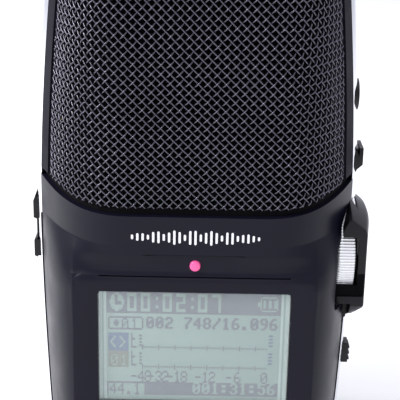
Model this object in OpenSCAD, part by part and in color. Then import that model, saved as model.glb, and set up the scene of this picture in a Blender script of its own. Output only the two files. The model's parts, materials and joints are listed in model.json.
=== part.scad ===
// Portable field recorder with a wire-mesh microphone head.
// Millimetres. +Z up, the display faces -Y, origin at the mouth of the tripod
// socket in the middle of the base.

/* [Overall size] */
// Height from the base to the top of the mode dial
overall_height = 113.85; // [111:0.05:116]
// Depth of the head at its fullest point
overall_depth = 42.7; // [42:0.1:44]
// Distance from the centre plane to the outside of the volume rocker
rocker_reach = 32.9; // [32.7:0.1:33.4]
// Distance from the centre plane to the outside of the gain wheel guard
guard_reach = 34.7; // [34.2:0.1:35.4]

/* [Body shape] */
// Half width of the front shell where it is widest
shoulder_half_width = 31.05; // [30.8:0.05:31.4]
// Half depth of the lower body
body_half_depth = 20.2; // [20:0.1:20.6]
// Height of the lower edge of the grille at the centre of the front
collar_height = 58.4; // [57.8:0.1:59]
// Wall thickness of the two shells
shell_wall = 2.0; // [1.6:0.1:2.2]
// How far the side panels stand outside the shells
panel_proud = 1.1; // [0.9:0.1:1.4]

/* [Display and buttons] */
// Width of the display window
window_width = 36.9; // [34:0.1:37.5]
// Height of the display window
window_height = 23.6; // [21:0.1:24]
// Radius of the round record button
record_button_radius = 6.3; // [5.5:0.1:6.4]
// Radius of the gain wheel
gain_wheel_radius = 10.8; // [10.2:0.1:10.9]
// Radius of the mode dial
mode_dial_radius = 14.2; // [13:0.2:14.6]

/* [Tripod socket] */
// Minor radius of the tripod thread
tripod_hole_radius = 2.55; // [2.5:0.05:2.7]
// Depth of the tripod thread
tripod_hole_depth = 5.6; // [4.5:0.1:5.8]

/* [Hidden] */
$fn = 48;
eps = 0.01;

// ---- derived sizes ----
head_half_depth = overall_depth / 2;
seam_half_gap = 4.6;
panel_half_depth = 4.5;
panel_arc = 6.2;
cap_bottom = 103;
cap_top = 108.6;
collar_tilt = 0.12;
widest_height = 57;
base_corner_radius = 9;
base_front_radius = 5;
section_steps = 18;
head_flat = 13;

facet_bottom = 17.5;
facet_top = 46;
facet_half_width = 23.3;
facet_proud = 0.4;
facet_thick = 2.3;
window_bottom = 19.4;
window_thick = 1.1;

record_height = 11.2;
led_height = 48.5;

wheel_height = 45.9;
wheel_inner = 27.7;
wheel_outer = 31.8;
notch_inner = 27.4;
notch_bottom = 37;
notch_top = 51.6;
guard_half_depth = 11.2;

menu_height = 77.5;
lever_height = 64.6;
slider_height = 21.8;
line_in_height = 68.3;
phones_height = 26.1;
remote_height = 35.2;
usb_height = 14.6;
rocker_height = 49.6;
rocker_axis_x = 28.4;
speaker_x = -21.2;

cell_radius = 7.25;
cell_length = 50.5;
cell_spacing = 7.35;
cell_y = 10.6;
cell_bottom = 9.4;

door_half_width = 16.4;
door_axis_y = 18.6;
door_axis_z = 8.0;
door_top = 51.0;
door_thick = 1.5;

card_y = -10.0;
cover_axis_y = -13.0;
cover_axis_z = 1.25;

screw_x = 23;
screw_low = 9;
screw_high = 54.4;

dial_bottom = 107.0;
deck_bottom = 60.7;
deck_thick = 1.4;

// ---- shape of the body ----
function clamp(v, low, high) = min(max(v, low), high);
function smooth(t) = let (c = clamp(t, 0, 1)) c * c * (3 - 2 * c);
function corner(z, r) = z >= r ? 0 : r - sqrt(max(r * r - (r - z) * (r - z), 0));

// Half width of the shells at height z.
function half_width(z) =
    shoulder_half_width
    - (z > widest_height ? 2.45 * pow((z - widest_height) / 38, 1.42)
                         : 1.2 * pow((widest_height - z) / 45, 1.9))
    - corner(z, base_corner_radius);

// Half depth of the shells at height z.
function half_depth(z) =
    body_half_depth
    + (head_half_depth - body_half_depth) * smooth((z - 45) / 40)
    - (z > 85 ? 1.75 * pow((z - 85) / 18, 2) : 0)
    - corner(z, base_front_radius);

// 0 in the square lower body, 1 in the head, which has a flat middle and sloping flanks.
function head_share(z) = pow(clamp((z - 46) / 6.4, 0, 1), 1.5);

function reach(z, inset, margin) = min(half_width(z) - margin, half_width(z) - inset);

function section_y(x, z, inset) =
    let (b = half_depth(z) - inset,
         w = half_width(z) - inset,
         a = w / pow(1 - seam_half_gap / b, 1 / 8),
         square = b * pow(min(abs(x) / a, 1), 8),
         flank = (b - seam_half_gap)
             * pow(clamp((abs(x) - head_flat) / (w - head_flat), 0, 1), 2.24))
    -b + square + (flank - square) * head_share(z);

// Points along the front of one level, from -X to +X, closer together at the sides.
function section_curve(z, inset, margin, steps) =
    [for (i = [0 : steps])
        let (t = sin(-90 + 180 * i / steps), x = t * reach(z, inset, margin))
        [x, section_y(x, z, inset)]];

// Height offset that tilts the collar edge up towards the sides.
function tilt_rise(y, z, amount) = amount * collar_tilt * (y + half_depth(z));

// Stack of closed rings, each a list of the same number of 3-D points. In a sheet the
// second half of a ring runs back beside the first, and strips close its two ends.
module loft(rings, sheet = false) {
    n = len(rings[0]);
    levels = len(rings);
    points = [for (ring = rings) for (p = ring) p];
    sides = [for (k = [0 : levels - 2]) for (i = [0 : n - 1])
                 let (a = k * n + i, b = k * n + (i + 1) % n, c = a + n, d = b + n)
                 each [[a, c, b], [b, c, d]]];
    strip = sheet ? [for (i = [0 : n / 2 - 2]) each [[i, i + 1, n - 2 - i], [i, n - 2 - i, n - 1 - i]]]
                  : [[for (i = [0 : n - 1]) i]];
    top = [for (face = strip)
               [for (i = [len(face) - 1 : -1 : 0]) (levels - 1) * n + face[i]]];
    polyhedron(points = points, faces = concat(strip, sides, top), convexity = 6);
}

// Front half of the body between the listed heights, closed at the plane y = back.
// tilt 1 makes the top level follow the collar edge, bottom_tilt does it below.
module half_solid(heights, inset, back, margin = 0, top_tilt = 0, bottom_tilt = 0,
                  steps = section_steps) {
    last = len(heights) - 1;
    loft([for (k = [0 : last])
        let (z = heights[k],
             amount = bottom_tilt * pow(1 - k / last, 2) + top_tilt * pow(k / last, 2),
             curve = section_curve(z, inset, margin, steps),
             end = reach(z, inset, margin))
        [for (p = concat(curve, [[end, back], [-end, back]]))
            [p[0], p[1], z + tilt_rise(p[1], z, amount)]]]);
}

// Curved sheet that follows the front between two insets.
module half_sheet(heights, outer, inner, margin, top_tilt = 0, bottom_tilt = 0,
                  steps = section_steps, tuck = 0) {
    last = len(heights) - 1;
    loft([for (k = [0 : last])
        let (z = heights[k],
             amount = bottom_tilt * pow(1 - k / last, 2) + top_tilt * pow(k / last, 2),
             curl = tuck * pow(abs(2 * k / last - 1), 6),
             front = section_curve(z, outer + curl, margin + curl / 3, steps),
             rear = section_curve(z, inner + curl, margin + curl / 3, steps))
        [for (p = concat(front, [for (i = [steps : -1 : 0]) rear[i]]))
            [p[0], p[1], z + tilt_rise(p[1], z, amount)]]], sheet = true);
}

function spread(low, high, count) = [for (i = [0 : count]) low + (high - low) * i / count];

shell_heights = concat([0, 0.8, 2, 3.6, 5.6, 8], [14, 24, 36, 45, 47.5, 49.5, 51.5, 53.5, 55.8],
                       [collar_height]);
inside_heights = [2.2, 3.8, 6.5, 10, 24, 44, 47.5, 50, 52, 54, collar_height + 4];
head_heights = spread(collar_height + 0.3, cap_bottom - 0.2, 8);

module back_side() {
    mirror([0, 1, 0]) children();
}

module both_sides() {
    children();
    mirror([1, 0, 0]) children();
}

// Box given by its two corners.
module block(low, high) {
    translate(low) cube(high - low);
}

// Cylinder along Y between two y values.
module bar_y(x, z, y0, y1, r) {
    translate([x, y1, z]) rotate([90, 0, 0]) cylinder(h = y1 - y0, r = r);
}

// Cylinder along X between two x values.
module bar_x(y, z, x0, x1, r) {
    translate([x0, y, z]) rotate([0, 90, 0]) cylinder(h = x1 - x0, r = r);
}

// Flat plate with round corners, thickness along +Y, centred on x, bottom at z = 0.
module rounded_plate(width, height, thick, r) {
    translate([0, thick, 0]) rotate([90, 0, 0]) linear_extrude(thick) {
        translate([-width / 2 + r, 0]) square([width - 2 * r, height]);
        translate([-width / 2, r]) square([width, height - 2 * r]);
        for (x = [-1, 1]) {
            translate([x * (width / 2 - r), r]) circle(r);
            translate([x * (width / 2 - r), height - r]) circle(r);
        }
    }
}

// Local frame on the raised flat facet around the display: y = 0 on the facet.
module on_facet() {
    translate([0, -body_half_depth - facet_proud, facet_bottom]) children();
}

module screw_points() {
    for (x = [-screw_x, screw_x]) {
        translate([x, 0, screw_low]) children();
        translate([x, 0, screw_high]) children();
    }
}

// Crowned side band: its outer face is an arc whose edges dip below the shell.
module side_band(low, high) {
    heights = concat(spread(low, base_corner_radius, 8), spread(base_corner_radius + 5, high, 14));
    loft([for (z = heights)
        let (inner = half_width(z) - 1.8, centre = half_width(z) + panel_proud - panel_arc)
        concat([[inner, -panel_half_depth, z]],
               [for (y = spread(-panel_half_depth, panel_half_depth, 10))
                   [centre + sqrt(panel_arc * panel_arc - y * y), y, z]],
               [[inner, panel_half_depth, z]])]);
}

// ================= shells and panels =================

module front_shell() {
    boss_low = [-14.6, -0.2];
    boss_high = [-12.4, -0.2];
    color([0.2, 0.2, 0.22]) difference() {
        union() {
            difference() {
                half_solid(shell_heights, 0, -seam_half_gap, top_tilt = 1);
                half_solid(inside_heights, shell_wall, 1);
            }
            // the facet, its upper edge reads as a lip
            on_facet() rounded_plate(2 * facet_half_width, facet_top - facet_bottom, facet_thick, 2);
            for (x = [-screw_x, screw_x]) {
                bar_y(x, screw_low, boss_low[0], boss_low[1], 2.4);
                bar_y(x, screw_high, boss_high[0], boss_high[1], 2.4);
            }
        }
        for (x = [-screw_x, screw_x]) {
            bar_y(x, screw_low, -9, 1, 1.0);
            bar_y(x, screw_high, -9, 1, 1.0);
        }
        // display opening with a seat for the window
        on_facet() translate([0, -1, window_bottom - facet_bottom - 0.15])
            rounded_plate(window_width + 0.3, window_height + 0.3, 1 + window_thick + 0.1, 0.8);
        on_facet() translate([0, -1, window_bottom - facet_bottom + 1.2])
            rounded_plate(window_width - 2.4, window_height - 2.4, 6, 0.5);
        // slit above the display and the slit under the emblem
        block([-18.2, -21, facet_top + 0.1], [18.2, -body_half_depth + 0.8, facet_top + 0.5]);
        block([-8.6, -21, 50.5], [8.6, -body_half_depth + 0.35, 50.8]);
        // record button, lamp
        bar_y(0, record_height, -22, -14, record_button_radius + 1.1);
        bar_y(0, led_height, -22, -14, 1.05);
        gain_notch();
        // card slot in the base
        block([-14.9, cover_axis_y - 1.25, -1], [14.9, -6.9, 3.2]);
        bar_x(cover_axis_y, cover_axis_z, -16.4, 16.4, 0.45);
    }
}

// Room for the gain wheel and its guard in the two shells.
module gain_notch() {
    bar_x(0, wheel_height, notch_inner, 36, gain_wheel_radius + 0.35);
    block([notch_inner, -24, notch_bottom], [36, 24, notch_top]);
    block([28.6, -guard_half_depth - 0.3, notch_top - 1], [36, guard_half_depth + 0.3, 57.2]);
    block([28.6, -6.2, 30.8], [36, 6.2, notch_bottom + 1]);
}

module rear_shell() {
    color([0.2, 0.2, 0.22]) difference() {
        union() {
            difference() {
                back_side() half_solid(shell_heights, 0, -seam_half_gap, top_tilt = 1);
                back_side() half_solid(inside_heights, shell_wall, 1);
            }
            for (x = [-screw_x, screw_x]) {
                bar_y(x, screw_low, 0.2, 14.6, 2.4);
                bar_y(x, screw_high, 0.2, 12.4, 2.4);
            }
        }
        for (x = [-screw_x, screw_x]) {
            for (z = [screw_low, screw_high]) {
                bar_y(x, z, -1, 24, 1.25);
                bar_y(x, z, 6, 24, 2.05);
            }
        }
        // battery opening with the round seat of the door hinge
        block([-door_half_width - 0.3, 15, door_axis_z], [door_half_width + 0.3, 24, door_top + 0.3]);
        bar_x(door_axis_y, door_axis_z, -door_half_width - 0.3, door_half_width + 0.3, 1.75);
        block([-door_half_width - 0.3, door_axis_y, door_axis_z - 1.75],
              [door_half_width + 0.3, 24, door_axis_z + 1]);
        // blind bores for the ends of the hinge pin
        bar_x(door_axis_y, door_axis_z, -door_half_width - 2, door_half_width + 2, 0.55);
        // speaker slots
        for (i = [-2 : 2]) {
            block([speaker_x + i * 1.3 - 0.35, 8, 15], [speaker_x + i * 1.3 + 0.35, 24, 27]);
        }
        gain_notch();
    }
}

module left_side_panel() {
    color([0.8, 0.81, 0.83]) mirror([1, 0, 0]) difference() {
        side_band(1.5, cap_bottom - 0.1);
        bar_x(0, line_in_height, 25, 36, 2.9);
        bar_x(0, phones_height, 25, 36, 2.9);
        bar_x(0, remote_height, 25, 36, 2.4);
        block([25, -2.25, usb_height - 4.1], [36, 2.25, usb_height + 4.1]);
        block([25, -2.3, rocker_height - 7.4], [36, 2.3, rocker_height + 7.4]);
    }
}

module right_side_panel() {
    color([0.8, 0.81, 0.83]) difference() {
        union() {
            difference() {
                side_band(1.5, cap_bottom - 0.1);
                // room for the wheel and its guard
                block([25, -6, 30.9], [36, 6, 57.2]);
            }
            // web that joins the two halves behind the wheel
            block([26.7, -4.4, 28.9], [27.3, 4.4, 59.4]);
            block([26.7, -4.4, 28.9], [29.9, 4.4, 30.7]);
            block([26.7, -4.4, 57.4], [29.9, 4.4, 59.4]);
        }
        bar_x(0, wheel_height, 26, 28, 3.3);
        // menu button, play lever, power slider
        bar_x(0, menu_height, 25, 36, 3.3);
        block([25, -3.3, lever_height - 3.4], [36, 3.3, lever_height + 4.2]);
        block([25, -1.9, slider_height - 5.6], [36, 1.9, slider_height + 5.6]);
    }
}

module base_plate() {
    half = half_width(1.2) - 1.6;
    color([0.12, 0.12, 0.13]) difference() {
        block([-half, -panel_half_depth, 0], [half, panel_half_depth, 1.6]);
        translate([0, 0, -1]) cylinder(h = 4, r = 4.0);
    }
}

// ================= microphone head =================

module head_frame() {
    rise = collar_height + 0.3;
    difference() {
        half_solid(head_heights, 0.02, -seam_half_gap, bottom_tilt = 1);
        half_solid(concat([collar_height - 3], head_heights, [cap_bottom + 2]), 3.0, 1,
                   margin = 3.4);
        // rebate that holds the mesh, deeper along the lower edge
        difference() {
            half_solid(concat([rise - 6], head_heights, [cap_bottom + 2]), -3, -seam_half_gap - 1.3,
                       margin = 1.7);
            half_solid(concat([rise - 8], head_heights, [cap_bottom + 4]), 1.3, 1);
        }
        difference() {
            block([-24, -30, rise - 4], [24, -seam_half_gap - 8, rise + 1.4]);
            half_solid(concat([rise - 8], head_heights, [cap_bottom + 4]), 2.0, 1);
        }
    }
}

module front_grille_frame() {
    color([0.23, 0.22, 0.26]) head_frame();
}

module rear_grille_frame() {
    color([0.23, 0.22, 0.26]) back_side() head_frame();
}

mesh_heights = spread(collar_height + 1.6, cap_bottom - 1.2, 10);

module grille_mesh() {
    half_sheet(mesh_heights, 0, 0.8, 1.9, bottom_tilt = 1, tuck = 0.45);
}

module front_grille() {
    color([0.33, 0.32, 0.36]) grille_mesh();
}

module rear_grille() {
    color([0.33, 0.32, 0.36]) back_side() grille_mesh();
}

module cloth_sheet() {
    half_sheet(spread(collar_height + 3.6, cap_bottom - 1.5, 8), 3.3, 3.8, 4.2, bottom_tilt = 1);
}

module front_cloth() {
    color([0.04, 0.04, 0.05]) cloth_sheet();
}

module rear_cloth() {
    color([0.04, 0.04, 0.05]) back_side() cloth_sheet();
}

// Deck between the body and the head.
module mic_deck() {
    z = deck_bottom + 3;
    half = section_curve(z, 4.3, 4.6, 16);
    color([0.1, 0.1, 0.11]) difference() {
        union() {
            translate([0, 0, deck_bottom]) linear_extrude(deck_thick)
                polygon(concat(half, [for (i = [16 : -1 : 0]) [half[i][0], -half[i][1]]]));
            translate([0, 0, deck_bottom + eps]) cylinder(h = 10, r = 4);
        }
        translate([0, 0, deck_bottom - 1]) cylinder(h = 14, r = 2.4);
        for (x = [-12, 12]) {
            translate([x, 0, deck_bottom - 1]) cylinder(h = 4, r = 1.2);
        }
    }
}

capsule_radius = 4.9;
xy_height = 89;
mid_height = 89;
side_height = 77.5;

// Soft block that carries the five capsules.
module capsule_mount() {
    color([0.16, 0.16, 0.17]) difference() {
        union() {
            translate([0, 0, deck_bottom + 10.3]) cylinder(h = 25, r = 4.0);
            block([-8.5, -3, 73], [8.5, 3, 82]);
            block([-12.6, -5.6, 84.4], [12.6, 8.2, 93.6]);
        }
        xy_places() translate([0, 0, -0.3]) cylinder(h = 14, r = capsule_radius + 0.3);
        bar_y(0, mid_height, 2.4, 12, capsule_radius + 0.3);
        for (s = [-1, 1]) {
            translate([s * 6.2, 0, side_height]) rotate([0, s * 90, 0])
                translate([0, 0, -0.3]) cylinder(h = 12, r = capsule_radius + 0.3);
        }
    }
}

// The crossed pair looks forward, each capsule turned 45 degrees outward.
module xy_places() {
    for (s = [-1, 1]) {
        translate([s * 6.6, -3.4, xy_height]) rotate([90, 0, s * 45]) children();
    }
}

module capsule(length) {
    difference() {
        cylinder(h = length, r = capsule_radius);
        translate([0, 0, length - 0.5]) cylinder(h = 1, r = capsule_radius - 0.7);
    }
}

module xy_capsules() {
    color([0.75, 0.76, 0.78]) xy_places() capsule(6.2);
}

module mid_capsule() {
    color([0.75, 0.76, 0.78]) translate([0, 2.7, mid_height]) rotate([-90, 0, 0]) capsule(6.2);
}

module side_capsules() {
    color([0.75, 0.76, 0.78]) for (s = [-1, 1]) {
        translate([s * 6.2, 0, side_height]) rotate([0, s * 90, 0]) capsule(4.4);
    }
}

// ================= top cap and mode dial =================

cap_levels = [[0, 0], [0.9, 0.15], [2.2, 0.75], [3.4, 1.8], [4.4, 3.3], [5.1, 5.4], [5.5, 8.2]];

function cap_ring(z, inset, shrink) =
    let (front = section_curve(z, inset, inset, section_steps))
    [for (p = concat(front, [for (i = [section_steps : -1 : 0]) [front[i][0], -front[i][1]]]))
        [p[0] * (1 + 0.035 - shrink * 0.002), p[1], z]];

module cap_solid(levels, extra, drop) {
    loft([for (l = levels)
        let (ring = cap_ring(cap_bottom, l[1] + extra, l[1]))
        [for (p = ring) [p[0], p[1], cap_bottom + l[0] - drop]]]);
}

module top_cap() {
    color([0.1, 0.1, 0.11]) difference() {
        cap_solid(cap_levels, 0, 0);
        difference() {
            cap_solid(cap_levels, 1.8, 2.7);
            translate([0, 0, cap_bottom - 4]) cylinder(h = 12, r = 6.4);
        }
        // well of the dial and the bore of its switch
        translate([0, 0, dial_bottom - 0.3]) cylinder(h = 8, r = mode_dial_radius + 0.35);
        translate([0, 0, cap_bottom - 6]) cylinder(h = 12, r = 4.4);
    }
}

module mode_switch() {
    color([0.55, 0.56, 0.58]) difference() {
        translate([0, 0, cap_bottom - 3.4]) cylinder(h = 6.9, r = 4.1);
        translate([0, 0, cap_bottom - 4]) cylinder(h = 9, r = 1.56);
    }
}

module mode_dial() {
    rim = overall_height - 0.9;
    color([0.13, 0.13, 0.14]) difference() {
        union() {
            translate([0, 0, dial_bottom])
                cylinder(h = rim - dial_bottom, r = mode_dial_radius - 0.3);
            translate([0, 0, rim - eps])
                cylinder(h = eps + overall_height - rim, r = mode_dial_radius - 1.6);
            for (i = [0 : 35]) {
                rotate([0, 0, i * 10]) translate([mode_dial_radius - 0.55, 0, dial_bottom + 0.8])
                    cylinder(h = rim - dial_bottom - 1.4, r = 0.5, $fn = 16);
            }
        }
        // shallow dish, pointer groove and the bore of the stem
        translate([0, 0, overall_height - 0.5]) cylinder(h = 2, r = mode_dial_radius - 4);
        block([-0.6, -mode_dial_radius + 1.9, overall_height - 0.4],
              [0.6, -mode_dial_radius + 4.6, overall_height + 1]);
        translate([0, 0, dial_bottom - 1]) cylinder(h = 5, r = 1.5);
        translate([0, 0, dial_bottom - 1]) difference() {
            cylinder(h = 5, r = mode_dial_radius - 2);
            cylinder(h = 6, r = 3.4);
        }
    }
}

module mode_dial_stem() {
    color([0.7, 0.7, 0.72]) translate([0, 0, cap_bottom - 2.8]) cylinder(h = 10.2, r = 1.5);
}

// ================= display =================

module lcd_window() {
    color([0.75, 0.82, 0.8, 0.5]) on_facet()
        translate([0, 0.1, window_bottom - facet_bottom])
            rounded_plate(window_width, window_height, window_thick, 0.7);
}

module lcd_frame() {
    color([0.6, 0.61, 0.63]) on_facet() translate([0, 3.5, window_bottom - facet_bottom - 0.8])
        difference() {
            rounded_plate(window_width + 3.2, window_height + 1.8, 3.0, 0.4);
            translate([0, -1, 2.1])
                rounded_plate(window_width - 2.4, window_height - 2.4, 3, 0.2);
            translate([0, 0.6, 0.9])
                rounded_plate(window_width + 0.6, window_height, 5, 0.2);
        }
}

module lcd_module() {
    color([0.66, 0.74, 0.71]) on_facet() translate([0, 4.2, window_bottom - facet_bottom + 0.3])
        rounded_plate(window_width - 0.2, window_height - 0.6, 2.2, 0.2);
}

module display_board() {
    color([0.1, 0.35, 0.2]) {
        difference() {
            block([-20.3, -14.0, 3.6], [20.3, -12.6, 50.4]);
            for (x = [-17.5, 17.5]) {
                bar_y(x, 48.2, -15, -12, 1.1);
            }
        }
        // light source under the lamp lens
        block([-0.8, -15.2, led_height - 0.8], [0.8, -14.0 + eps, led_height + 0.8]);
    }
}

module led_lens() {
    color([0.93, 0.35, 0.55]) union() {
        bar_y(0, led_height, -body_half_depth - 0.25, -16.6, 1.0);
        bar_y(0, led_height, -18.1, -16.6, 1.9);
    }
}

// ================= record button =================

module record_button_ring() {
    color([0.7, 0.71, 0.73]) difference() {
        bar_y(0, record_height, -body_half_depth - 0.2, -15.9, record_button_radius + 1.05);
        bar_y(0, record_height, -24, -10, record_button_radius + 0.3);
    }
}

module record_button() {
    color([0.16, 0.16, 0.17]) difference() {
        union() {
            bar_y(0, record_height, -body_half_depth - 0.6, -17.2, record_button_radius);
            bar_y(0, record_height, -17.2 - eps, -16.4, 1.6);
        }
        // dished front
        translate([0, -body_half_depth - 14.4, record_height]) sphere(r = 14.2);
    }
}

// Identical momentary switches on the boards.
module tact_switch() {
    block([-1.9, -1.9, 0], [1.9, 1.9, 1.3]);
    translate([0, 0, 1.3 - eps]) cylinder(h = 0.35, r = 0.9);
}

module tact_switches() {
    color([0.25, 0.25, 0.27]) {
        translate([0, -14.0, record_height]) rotate([90, 0, 0]) tact_switch();
        translate([24.8, 0, menu_height]) rotate([0, 90, 0]) tact_switch();
        for (z = [rocker_height - 4.6, rocker_height + 4.6]) {
            translate([-26.9, 0, z]) rotate([0, -90, 0]) tact_switch();
        }
    }
}

// ================= gain wheel =================

rib_count = 64;

module gain_wheel() {
    color([0.86, 0.87, 0.88]) difference() {
        bar_x(0, wheel_height, wheel_inner, wheel_outer, gain_wheel_radius);
        for (i = [0 : rib_count - 1]) {
            translate([0, 0, wheel_height]) rotate([i * 360 / rib_count, 0, 0])
                block([wheel_inner + 0.3, -0.22, gain_wheel_radius - 0.35],
                      [wheel_outer - 0.3, 0.22, gain_wheel_radius + 1]);
        }
        bar_x(0, wheel_height, wheel_inner - 1, wheel_outer - 1.2, 1.5);
        difference() {
            bar_x(0, wheel_height, wheel_inner - 1, wheel_outer - 1.4, gain_wheel_radius - 2);
            bar_x(0, wheel_height, wheel_inner - 2, wheel_outer, 3.2);
        }
    }
}

module gain_shaft() {
    color([0.7, 0.7, 0.72]) bar_x(0, wheel_height, 21, wheel_outer - 1.3, 1.5);
}

module gain_pot() {
    color([0.3, 0.45, 0.4]) difference() {
        union() {
            block([19.4, -5.4, wheel_height - 5.4], [24.6, 5.4, wheel_height + 5.4]);
            bar_x(0, wheel_height, 24.6 - eps, 26.6, 3);
        }
        bar_x(0, wheel_height, 20.4, 28, 1.56);
    }
}

module gain_guard() {
    face = guard_half_depth;
    bow = 52.9;
    color([0.14, 0.14, 0.15]) difference() {
        intersection() {
            union() {
                // outer wall under a slanted roof, its corners rounded in the side view
                intersection() {
                    translate([0, face, 0]) rotate([90, 0, 0]) linear_extrude(2 * face)
                        polygon([[31.7, 32.0], [guard_reach, 34.0], [guard_reach, 53.0],
                                 [31.7, 55.8]]);
                    bar_x(0, wheel_height, 30, 36, 14.4);
                }
                // hood above the wheel, foot below it, lips in front of and behind it
                translate([0, face, 0]) rotate([90, 0, 0]) linear_extrude(2 * face)
                    polygon([[28.9, notch_top + 0.2], [31.71, notch_top + 0.2], [31.71, 55.79],
                             [30.4, 56.9], [28.9, 56.9]]);
                block([29.4, -5.7, 31.3], [31.71, 5.7, 36.6]);
                block([28.2, -face, notch_bottom + 0.3], [31.71, face, 41.2]);
            }
            // outer face bowed in plan
            translate([guard_reach - bow, 0, 30]) cylinder(h = 30, r = bow, $fn = 180);
        }
        bar_x(0, wheel_height, 20, wheel_outer + 0.3, gain_wheel_radius + 0.35);
        block([20, -face + 0.75, notch_bottom], [wheel_outer + 0.3, face - 0.75, 41.3]);
        bar_x(0, wheel_height, guard_reach - 0.6, guard_reach + 1, 4);
    }
}

// ================= side controls =================

module menu_button() {
    x_out = half_width(menu_height) + panel_proud + 0.35;
    color([0.15, 0.15, 0.16]) union() {
        bar_x(0, menu_height, 27.7, x_out - 0.3, 3.0);
        translate([x_out - 0.3 - eps, 0, menu_height]) rotate([0, 90, 0])
            cylinder(h = 0.3 + eps, r1 = 3.0, r2 = 2.6);
        bar_x(0, menu_height, 26.9, 27.7 + eps, 4.0);
    }
}

lever_axis_x = 28.9;

module play_lever() {
    x_out = half_width(lever_height) + panel_proud + 0.95;
    pad_in = x_out - 0.8;
    color([0.15, 0.15, 0.16]) difference() {
        union() {
            // stem out of the panel, thumb pad standing up from its end
            translate([0, 2.3, lever_height]) rotate([90, 0, 0]) linear_extrude(4.6)
                polygon([[lever_axis_x, -2.5], [x_out - 1.5, -2.3], [x_out, -0.8], [x_out, 2.7],
                         [pad_in, 2.7], [pad_in, 0.7], [pad_in - 0.8, 0.3], [lever_axis_x, 1.4]]);
            bar_y(lever_axis_x, lever_height, -2.9, 2.9, 2.6);
        }
        bar_y(lever_axis_x, lever_height, -4, 4, 0.65);
        block([20, -1.6, lever_height - 4], [lever_axis_x + 1.2, 1.6, lever_height + 4]);
    }
}

module play_lever_carrier() {
    color([0.5, 0.51, 0.53]) union() {
        bar_y(lever_axis_x, lever_height, -3.1, 3.1, 0.6);
        block([25.3, -1.3, lever_height - 1.1], [lever_axis_x, 1.3, lever_height + 1.1]);
    }
}

module play_switch() {
    color([0.25, 0.25, 0.27]) difference() {
        block([20.4, -3.4, lever_height - 2.3], [25.2, 3.4, lever_height + 2.3]);
        block([24.0, -1.6, lever_height - 1.4], [26, 1.6, lever_height + 1.4]);
    }
}

module volume_rocker() {
    foot = 29.6;
    waist = rocker_reach - 0.5;
    color([0.13, 0.13, 0.14]) mirror([1, 0, 0]) difference() {
        union() {
            // base inside the panel, two raised pads on feet, thin strap that joins the pads
            block([foot, -2.0, rocker_height - 7.0], [30.8, 2.0, rocker_height + 7.0]);
            block([30.8 - eps, -2.0, rocker_height + 1.4], [waist, 2.0, rocker_height + 5.6]);
            block([30.8 - eps, -2.0, rocker_height - 6.9], [waist, 2.0, rocker_height - 3.4]);
            block([waist - 0.45, -0.9, rocker_height - 3.5], [waist, 0.9, rocker_height + 1.5]);
            pad(rocker_height + 3.2, 3.6, 1.9);
            pad(rocker_height - 5.2, 3.4, 0.6);
            // inner web with the pivot barrel
            block([rocker_axis_x, -1.4, rocker_height - 0.9], [foot + eps, 1.4, rocker_height + 0.9]);
            bar_y(rocker_axis_x, rocker_height, -2.0, 2.0, 1.25);
            for (s = [-1, 1]) {
                block([28.9, -0.9, rocker_height + s * 4.6 - 0.8],
                      [foot + eps, 0.9, rocker_height + s * 4.6 + 0.8]);
            }
        }
        bar_y(rocker_axis_x, rocker_height, -3, 3, 0.65);
    }
}

// Raised pad of the rocker with a slope on its upper end.
module pad(z, height, slope) {
    translate([0, 2.0, 0]) rotate([90, 0, 0]) linear_extrude(4.0)
        polygon([[32.2, z - height / 2 - 0.3], [rocker_reach, z - height / 2],
                 [rocker_reach, z + height / 2], [32.2, z + height / 2 + slope]]);
}

module rocker_pin() {
    color([0.7, 0.7, 0.72]) bar_y(-rocker_axis_x, rocker_height, -3.4, 3.4, 0.6);
}

module rocker_bracket() {
    color([0.1, 0.35, 0.2]) mirror([1, 0, 0]) difference() {
        union() {
            block([25.6, -3.9, rocker_height - 7.4], [26.9, 3.9, rocker_height + 7.4]);
            for (s = [-1, 1]) {
                block([26.9 - eps, s * 3.1 - 0.8, rocker_height - 1.6],
                      [29.1, s * 3.1 + 0.8, rocker_height + 1.6]);
            }
        }
        bar_y(rocker_axis_x, rocker_height, -5, 5, 0.6);
    }
}

module power_slider() {
    color([0.15, 0.15, 0.16]) union() {
        block([30.9, -1.6, slider_height - 2.2], [32.4, 1.6, slider_height + 2.2]);
        block([27.6, -1.0, slider_height - 1.0], [30.9 + eps, 1.0, slider_height + 1.0]);
        for (i = [-1 : 1]) {
            block([32.4 - eps, -1.6, slider_height + i * 1.3 - 0.3],
                  [32.7, 1.6, slider_height + i * 1.3 + 0.3]);
        }
    }
}

module power_switch() {
    color([0.55, 0.56, 0.58]) difference() {
        block([23.2, -2.2, slider_height - 5.4], [28.1, 2.2, slider_height + 5.4]);
        block([26.4, -1.1, slider_height - 3.4], [29, 1.1, slider_height + 3.4]);
    }
}

// ================= sockets =================

module jack(z, rim, depth, hole) {
    x_out = half_width(z) + panel_proud + 0.1;
    difference() {
        union() {
            bar_x(0, z, x_out - 3.4, x_out + rim - 0.1, hole + 0.85);
            block([x_out - 3.4 - depth, -3.2, z - 3.2], [x_out - 3.39, 3.2, z + 3.2]);
        }
        bar_x(0, z, x_out - depth - 2, x_out + 2, hole);
    }
}

module line_in_jack() {
    color([0.85, 0.68, 0.3]) mirror([1, 0, 0]) jack(line_in_height, 0.1, 7.6, 1.8);
}

module phones_jack() {
    color([0.2, 0.2, 0.21]) mirror([1, 0, 0]) jack(phones_height, 0.5, 7.6, 1.8);
}

module remote_jack() {
    color([0.2, 0.2, 0.21]) mirror([1, 0, 0]) jack(remote_height, 0.1, 6, 1.3);
}

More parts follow.
